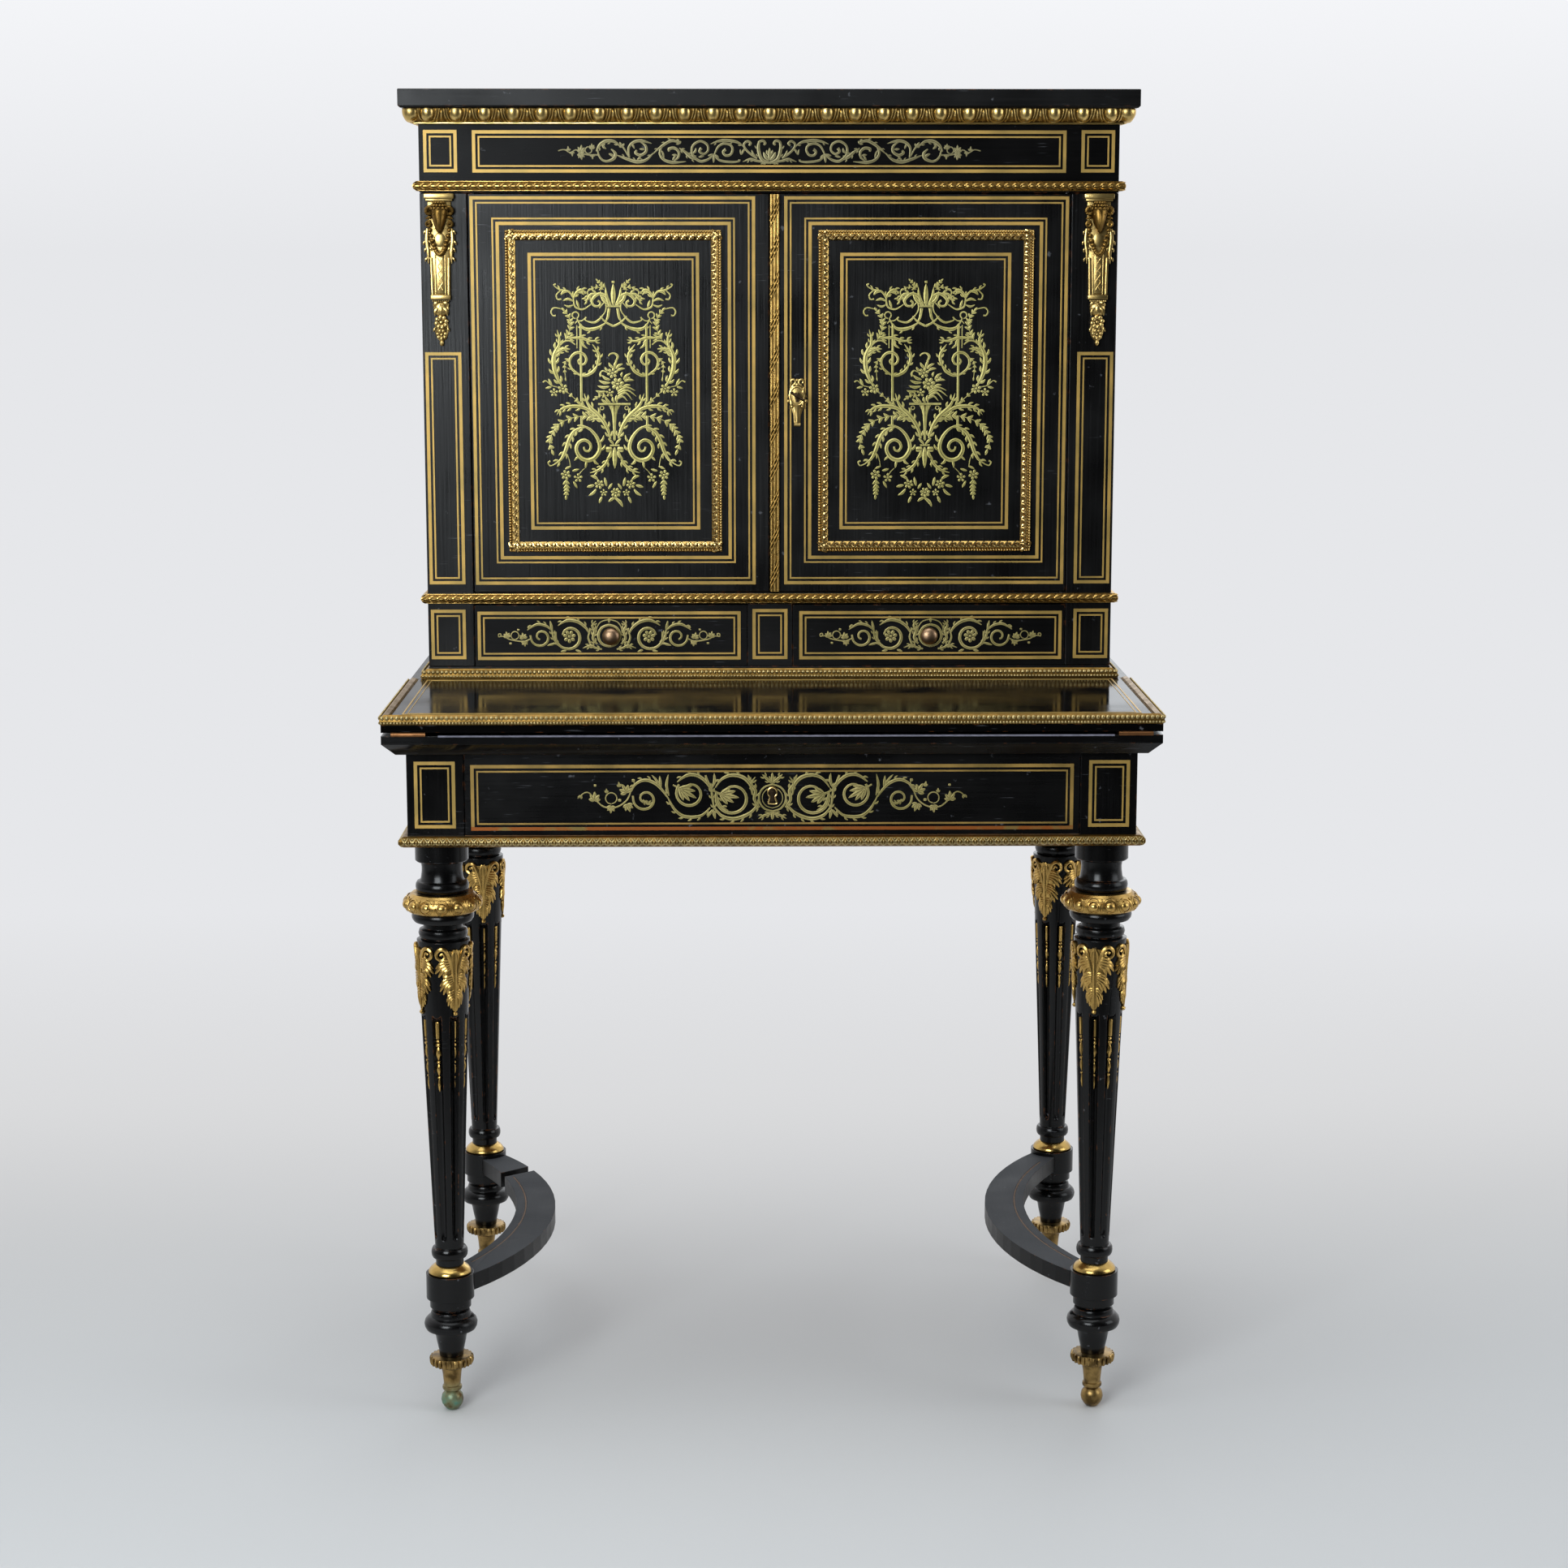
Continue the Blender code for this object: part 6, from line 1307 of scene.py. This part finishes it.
def brass_foot():
    """A foot: gadrooned ring, cone and ball."""
    body = turned([(0.0, 59.8), (18.0, 59.8), (20.4, 59.0), (20.9, 57.0), (20.2, 53.0), (19.4, 49.8),
                   (14.6, 47.6), (10.8, 45.7), (9.8, 40.0), (8.9, 31.0), (8.7, 27.0), (9.8, 26.2),
                   (10.2, 24.0), (9.8, 22.5), (7.6, 21.8), (7.0, 20.8), (8.6, 19.2), (10.6, 16.4),
                   (11.6, 11.5), (10.8, 7.4), (9.2, 4.5), (6.6, 1.2), (4.5, 0.0), (0.0, 0.0)], 40)
    pitch = math.tau * FOOT_RING_RADIUS / FOOT_TONGUES
    tongue = drawn([line([(0, 58.8), (0, 56), (0, 53), (0, 50)], (1.4, 2.2, 2.0, 0.9))], 1.2)
    tongues = wrapped(row_of(tongue, FOOT_TONGUES, pitch), lambda z: FOOT_RING_RADIUS)
    return joined([body, tongues])


def legs():
    """Every leg with its mounts, copied from one of each."""
    leg, mounts, collar, foot = fluted_leg(), leg_mounts(), egg_collar(), brass_foot()
    ankle = turned([(14.3, 158.2), (15.4, 158.0), (16.4, 156.8), (18.6, 155.6), (20.8, 153.4),
                    (22.0, 151.4), (22.2, 150.2), (21.4, 148.9), (14.3, 148.9), (14.3, 158.2)], 40)
    dressing = (
        (leg, "turned_leg_", LEG_WOOD, "ebonised_wood", "leg_", 38),
        (mounts, "leg_mounts_", GILT, "gilt_bronze", "", 40),
        (collar, "egg_collar_", GILT, "gilt_bronze", "collar_", 40),
        (foot, "brass_foot_", FOOT_BRASS, "worn_brass", "foot_", 40),
        (ankle, "ankle_ring_", RING_BRASS, "worn_brass", "", 40),
    )
    for corner, (x, y, turn) in LEGS.items():
        for first, name, finish, slot, node, angle in dressing:
            piece = set_round(copy_of(first), x, y, turn)
            replaced = [node + corner] if node else ()
            finish_piece(piece, name + corner, finish, "desk", replaced, angle)
    for first, *_ in dressing:
        bpy.data.objects.remove(first)


def ram_head():
    """A ram's head with curls and ribbed horns, and the garland that hangs below it."""
    skull = ball(0, -4.6, -20.0, 8.8, 9.2, 12.4, 22, 16)

    def muzzle(x, y, z):
        drop = min(max(0.0, -17.0 - z) / 15.4, 1.0)
        return x * (1 - 0.46 * drop), y - 2.4 * drop, z - 8.6 * drop
    pieces = [moved(skull, muzzle), ball(0, -13.0, -27.0, 2.0, 2.0, 9.0, 10, 8)]
    for height, reach, count in ((-9.4, 5.4, 5), (-12.4, 7.4, 6), (-15.4, 8.4, 5)):
        for i in range(count):
            angle = math.radians(-62 + 124 * i / (count - 1))
            pieces.append(ball(reach * math.sin(angle), -4.6 - reach * math.cos(angle), height, 2.0, 1.8,
                               1.8, 10, 7))
    for i in range(17):
        share = i / 8 - 1.0
        pieces.append(ball(10.2 * share, -5.0 - 2.0 * (1 - share * share), -62.4 + 25.0 * share * share,
                           2.6, 2.2, 2.2))
    horns = []
    ribs = [2.2 - 0.04 * k + (0.3 if k % 2 else -0.3) for k in range(26)]
    for sign in (-1, 1):
        pieces += [ball(sign * 5.2, -12.0, -21.4, 1.6, 1.1, 1.0, 10, 6),
                   ball(sign * 1.6, -11.0, -37.4, 1.0, 0.9, 0.8)]
        start, end = (120, -330) if sign > 0 else (60, 510)
        horns.append(spiral(sign * 10.0, -18.0, 4.4, 1.2, start, end, ribs))
        horns.append(leaf((sign * 7.0, -24.4), (sign * 14.2, -26.0), 1.7, 0.1 * sign))
        horns.append(spiral(sign * 10.8, -31.4, 3.2, 1.0, start, end, (1.5, 1.5, 1.3)))
    pieces.append(shifted(drawn(horns, 1.0), 0.0, -5.4, 0.0))
    return joined(pieces)


def term_shaft():
    """The rest of a bronze term: cap, bib, tapered shaft with a braid, leaf cup, rosettes and drop."""
    pieces = [block((-15.6, -7.5, -5.4), (15.6, 1.0, 0.0), 0.8),
              block((-14, -6.0, -7.8), (14, 1.0, -5.2), 0.6),
              block((-12.2, -2.4, -58.0), (12.2, 1.0, -8.0), 0.8),
              block((-10.2, -3.2, -104.4), (10.2, 1.0, -36.0), 0.8),
              block((-4.2, -3.9, -103.0), (4.2, 0.0, -62.0), 0.4),
              block((-10.4, -6.0, -109.2), (10.4, 1.0, -104.2), 0.7),
              ball(0, -2.4, -47.6, 7.0, 1.8, 8.6, 16, 10), ball(0, -1.4, -118.4, 8.2, 3.4, 8.6, 16, 10),
              ball(0, 0.4, -139.4, 7.4, 3.0, 13.4, 16, 10), ball(0, -3.0, -154.0, 2.4, 2.4, 3.2, 10, 8)]
    relief, braid = [], []
    for sign in (-1, 1):
        relief += acanthus([(sign * 12.6, -36), (sign * 13.4, -48), (sign * 12.0, -60),
                            (sign * 12.2, -72)], (1.4, 2.2, 2.0, 0.5), 4.4, 4)
        relief.append(line([(sign * 9.2, -66), (sign * 8.8, -84), (sign * 8.4, -104)], (1.5, 1.5)))
        relief.append(line([(sign * 5.2, -63), (sign * 5.1, -84), (sign * 5.0, -104)], (0.7, 0.7)))
        relief += [leaf((sign * 1.2, -112), (sign * 8.0, -116), 2.2, 0.2 * sign),
                   leaf((sign * 1.0, -117), (sign * 6.6, -126), 2.0, 0.2 * sign),
                   leaf((sign * 6.0, -137.6), (sign * 8.4, -142.4), 1.3)]
        braid.append(line([(sign * 2.3 * math.cos(k * math.pi / 2), -66.5 - 4.1 * k) for k in range(9)],
                          (0.7, 0.7), 4))
    relief += flower(0, -132.6, 7.6, 8) + flower(0, -145.4, 6.0, 7) + [leaf((0, -113), (0, -126), 2.6)]
    pieces += [shifted(drawn(relief, 0.8), 0.0, -3.6, 0.0), shifted(drawn(braid, 0.8), 0.0, -3.9, 0.0)]
    for i in range(9):
        pieces.append(ball(-8.0 + 2.0 * i, -4.6, -110.6, 1.05, 1.0, 1.0))
    return joined(pieces)


def ram_terms():
    """Both terms on their stiles."""
    head, shaft = ram_head(), term_shaft()
    for sign, side in ((-1, "left"), (1, "right")):
        x, y, z = TERM_PLACE
        piece = shifted(copy_of(shaft), sign * x, y, z)
        finish_piece(piece, "ram_term_" + side, BRIGHT_GILT, "desk", ["ram_mount_" + side])
        piece = shifted(copy_of(head), sign * x, y, z)
        finish_piece(piece, "ram_head_" + side, GROUND, "desk")
    for first in (head, shaft):
        bpy.data.objects.remove(first)


def groove_rod(sign, thick, height):
    """A rod along the hollow side of a stretcher, to cut the line in its top or to lie in it."""
    sag, chord = 73.5, (LEG_REAR - LEG_FRONT) / 2
    radius = (chord ** 2 + sag ** 2) / (2 * sag)
    middle_x, middle_y = LEG_X - sag + radius, (LEG_REAR + LEG_FRONT) / 2
    half_angle = math.asin(chord / radius)
    path = []
    for i in range(25):
        share = 0.1 + (0.68 if sign < 0 else 0.8) * i / 24
        width = 26.0 + 17.0 * math.sin(math.pi * share) ** 0.6
        reach = radius - width / 2 + 0.24 * width
        angle = (2 * share - 1) * half_angle
        path.append((sign * (middle_x - reach * math.cos(angle)), middle_y + reach * math.sin(angle)))
    rod = drawn([line(path, (thick, thick), 1)], 1.0)
    return closed(moved(rod, lambda x, y, z: (x, z, height + y)))


def smooth_boards():
    """Curved boards copied with merged points and smooth rounds, and the cut line of each stretcher."""
    for node, finish, sign in (("right_stretcher", DUSTY, 1), ("left_stretcher", DUSTY, -1),
                               ("left_stretcher_stub", DUSTY, -1), ("lower_slab", LOW_BOARD, 0)):
        board = closed(copy_of(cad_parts[node]))
        if sign:
            closed(cut_out(board, groove_rod(sign, *GROOVE_CUT), "EXACT"))
        if sign and not node.endswith("stub"):
            finish_piece(groove_rod(sign, *GROOVE_LINE), node + "_cut_line", RAW_WOOD, "desk")
        finish_piece(board, "smooth_" + node, finish, "desk", [node], angle=14)


def slab_edge():
    """The lower slab's front edge between the hinges: a pale grey strip that is a painted highlight where
    the folding leaf lands.
    """
    strip = drawn([line([(-329.0, 716.9), (0.0, 716.9), (337.0, 716.9)], (1.0, 1.0))], 1.0)
    shifted(strip, 0.0, -261.6, 0.0)
    # The strip's pale grey is a painted highlight of the edge.
    finish_piece(strip, "painted_highlight_slab_edge", SLAB_EDGE_HIGHLIGHT, "desk")


def dress_boards():
    """Finishes of the CAD nodes that stay."""
    finishes = {"apron_block_left": LEG_WOOD, "apron_block_right": LEG_WOOD, "apron_side_left": DEPTHWISE,
                "apron_side_right": DEPTHWISE, "apron_back": ACROSS, "apron_floor": OAK,
                "apron_moulding": GROUND, "rear_board": POLISHED, "writing_leaf": POLISHED,
                "leaf_moulding": GROUND, "leaf_hinge_left": HINGE_BRASS, "leaf_hinge_right": HINGE_BRASS,
                "frieze_drawer": FRIEZE_DRAWER, "cabinet_base": ACROSS, "base_moulding": GROUND,
                "cabinet_side_left": UPRIGHT, "cabinet_side_right": UPRIGHT, "cabinet_back": UPRIGHT,
                "stile_left": UPRIGHT, "stile_right": UPRIGHT, "drawer_divider": ACROSS,
                "cupboard_floor": ACROSS, "mid_moulding": GROUND, "shelf": OAK, "frieze": FRIEZE_BOARD,
                "frieze_moulding": GROUND, "cornice": GROUND, "top_slab": ACROSS, "left_door": UPRIGHT,
                "right_door": UPRIGHT, "left_door_bronze": GILT, "right_door_bronze": GILT,
                "lock_case": STEEL, "lock_bolt": STEEL, "left_drawer": SMALL_DRAWER,
                "right_drawer": SMALL_DRAWER, }
    for node, finish in finishes.items():
        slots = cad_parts[node].data.materials
        slots.clear()
        slots.append(finish)


def background_rays(tree):
    """The rays that show the pale background: those of the camera, those of metal and glass, and both."""
    rays = put(tree, "LightPath", {}, {})
    camera_ray, glossy, through = (rays.outputs["Is %s Ray" % kind] for kind in ("Camera", "Glossy",
                                                                                 "Transmission"))
    mirror_ray = put(tree, "Math", {"operation": "MAXIMUM"}, {0: glossy, 1: through}).outputs[0]
    either = put(tree, "Math", {"operation": "MAXIMUM"}, {0: camera_ray, 1: mirror_ray}).outputs[0]
    return camera_ray, mirror_ray, either


def studio():
    """Camera at the photograph's place, soft lamps, a pale floor that fades into a pale room."""
    begin()
    bpy.ops.object.camera_add(location=CAMERA_PLACE, rotation=(math.pi / 2 - CAMERA_TILT, 0.0,
                                                               CAMERA_TURN))
    camera = bpy.context.object
    camera.data.sensor_width = 36.0
    camera.data.lens = CAMERA_LENS
    bpy.context.scene.camera = camera
    for name, spot, aim, size, power in LAMPS:
        begin()
        bpy.ops.object.light_add(type="AREA", location=spot)
        lamp = bpy.context.object
        lamp.name = name
        lamp.rotation_euler = (Vector(aim) - Vector(spot)).to_track_quat("-Z", "Y").to_euler()
        lamp.data.size = size
        lamp.data.energy = power
        lamp.data.color = LAMP_TINT
    begin()
    bpy.ops.mesh.primitive_circle_add(vertices=96, radius=16.0, fill_type="NGON")
    floor = bpy.context.object
    floor.name = "studio_floor"
    finish, tree, shader = new_finish("pale_floor")
    place = put(tree, "TexCoord", {}, {}).outputs["Object"]
    axes = put(tree, "SeparateXYZ", {}, {0: place})
    depth = axes.outputs["Y"]
    # The camera sees the floor fade on every side, and mirrors see it fade behind the desk only.
    camera_ray, _, either = background_rays(tree)
    fore = put(tree, "Math", {"operation": "SUBTRACT"}, {0: -0.9, 1: depth}).outputs[0]
    aside = put(tree, "Math", {"operation": "ABSOLUTE"}, {0: axes.outputs["X"]}).outputs[0]
    aside = put(tree, "Math", {"operation": "SUBTRACT"}, {0: aside, 1: 1.5}).outputs[0]
    away = put(tree, "Math", {"operation": "MAXIMUM"}, {0: fore, 1: aside}).outputs[0]
    away = put(tree, "Math", {"operation": "MAXIMUM"}, {0: depth, 1: away}).outputs[0]
    away = put(tree, "Mix", {"data_type": "FLOAT"}, {0: camera_ray, 2: depth, 3: away}).outputs[0]
    far = put(tree, "MapRange", {"interpolation_type": "SMOOTHSTEP"},
              {"Value": away, "From Min": -0.3, "From Max": 1.0}).outputs[0]
    farther = put(tree, "MapRange", {}, {"Value": away, "From Min": -0.1, "From Max": 2.2}).outputs[0]
    shown = put(tree, "Math", {"operation": "MULTIPLY"}, {0: far, 1: either}).outputs[0]
    ahead = put(tree, "MapRange", {}, {"Value": depth, "From Min": -0.8, "From Max": -1.5}).outputs[0]
    unseen = put(tree, "Math", {"operation": "SUBTRACT"}, {0: 1.0, 1: camera_ray}).outputs[0]
    ahead = put(tree, "Math", {"operation": "MULTIPLY"}, {0: ahead, 1: unseen}).outputs[0]
    lit = put(tree, "Mix", {"data_type": "RGBA"},
              {0: ahead, 6: colour("#d4d3d1"), 7: colour("#303030")}).outputs[2]
    feed(tree, shader, {"Base Color": lit, "Roughness": 0.75})
    pale = put(tree, "Mix", {"data_type": "RGBA"}, {0: farther, 6: colour("#d0d0d0"),
                                                    7: colour(ROOM_PALE)}).outputs[2]
    haze = put(tree, "Emission", {}, {"Color": pale, "Strength": 1.0}).outputs[0]
    blend = put(tree, "MixShader", {}, {0: shown, 1: shader.outputs[0], 2: haze}).outputs[0]
    feed(tree, tree.nodes["Material Output"], {"Surface": blend})
    floor.data.materials.append(finish)
    scene = bpy.context.scene
    scene.world = bpy.data.worlds.new("pale_room")
    scene.world.use_nodes = True
    tree = scene.world.node_tree
    way = put(tree, "TexCoord", {}, {}).outputs["Generated"]
    axes = put(tree, "SeparateXYZ", {}, {0: way})
    camera_ray, mirror_ray, _ = background_rays(tree)
    height = put(tree, "MapRange", {}, {"Value": axes.outputs["Z"], "From Min": 0.0,
                                        "From Max": 0.09}).outputs[0]
    seen = put(tree, "Mix", {"data_type": "RGBA"}, {0: height, 6: colour(ROOM_PALE),
                                                    7: colour("#f6f7fa")}).outputs[2]
    behind = put(tree, "MapRange", {}, {"Value": axes.outputs["Y"], "From Min": 0.3,
                                        "From Max": -0.7}).outputs[0]
    felt = put(tree, "Mix", {"data_type": "RGBA"}, {0: behind, 6: colour("#b4b8c0"),
                                                    7: colour(ROOM_DARK)}).outputs[2]
    mirrored = put(tree, "Mix", {"data_type": "RGBA"}, {0: behind, 6: seen,
                                                        7: colour(ROOM_DARK)}).outputs[2]
    felt = put(tree, "Mix", {"data_type": "RGBA"}, {0: mirror_ray, 6: felt, 7: mirrored}).outputs[2]
    room = put(tree, "Mix", {"data_type": "RGBA"}, {0: camera_ray, 6: felt, 7: seen}).outputs[2]
    feed(tree, tree.nodes["Background"], {"Color": room, "Strength": 1.0})
    scene.view_settings.view_transform = "Standard"


studio()
dress_boards()
smooth_boards()
slab_edge()
stringing()
marquetry()
cornice_carving()
laurel_bands()
bead_mouldings()
apron_carving()
door_frames()
reeded_astragal()
lock_plate_and_key()
keyhole_rim()
knobs()
legs()
ram_terms()
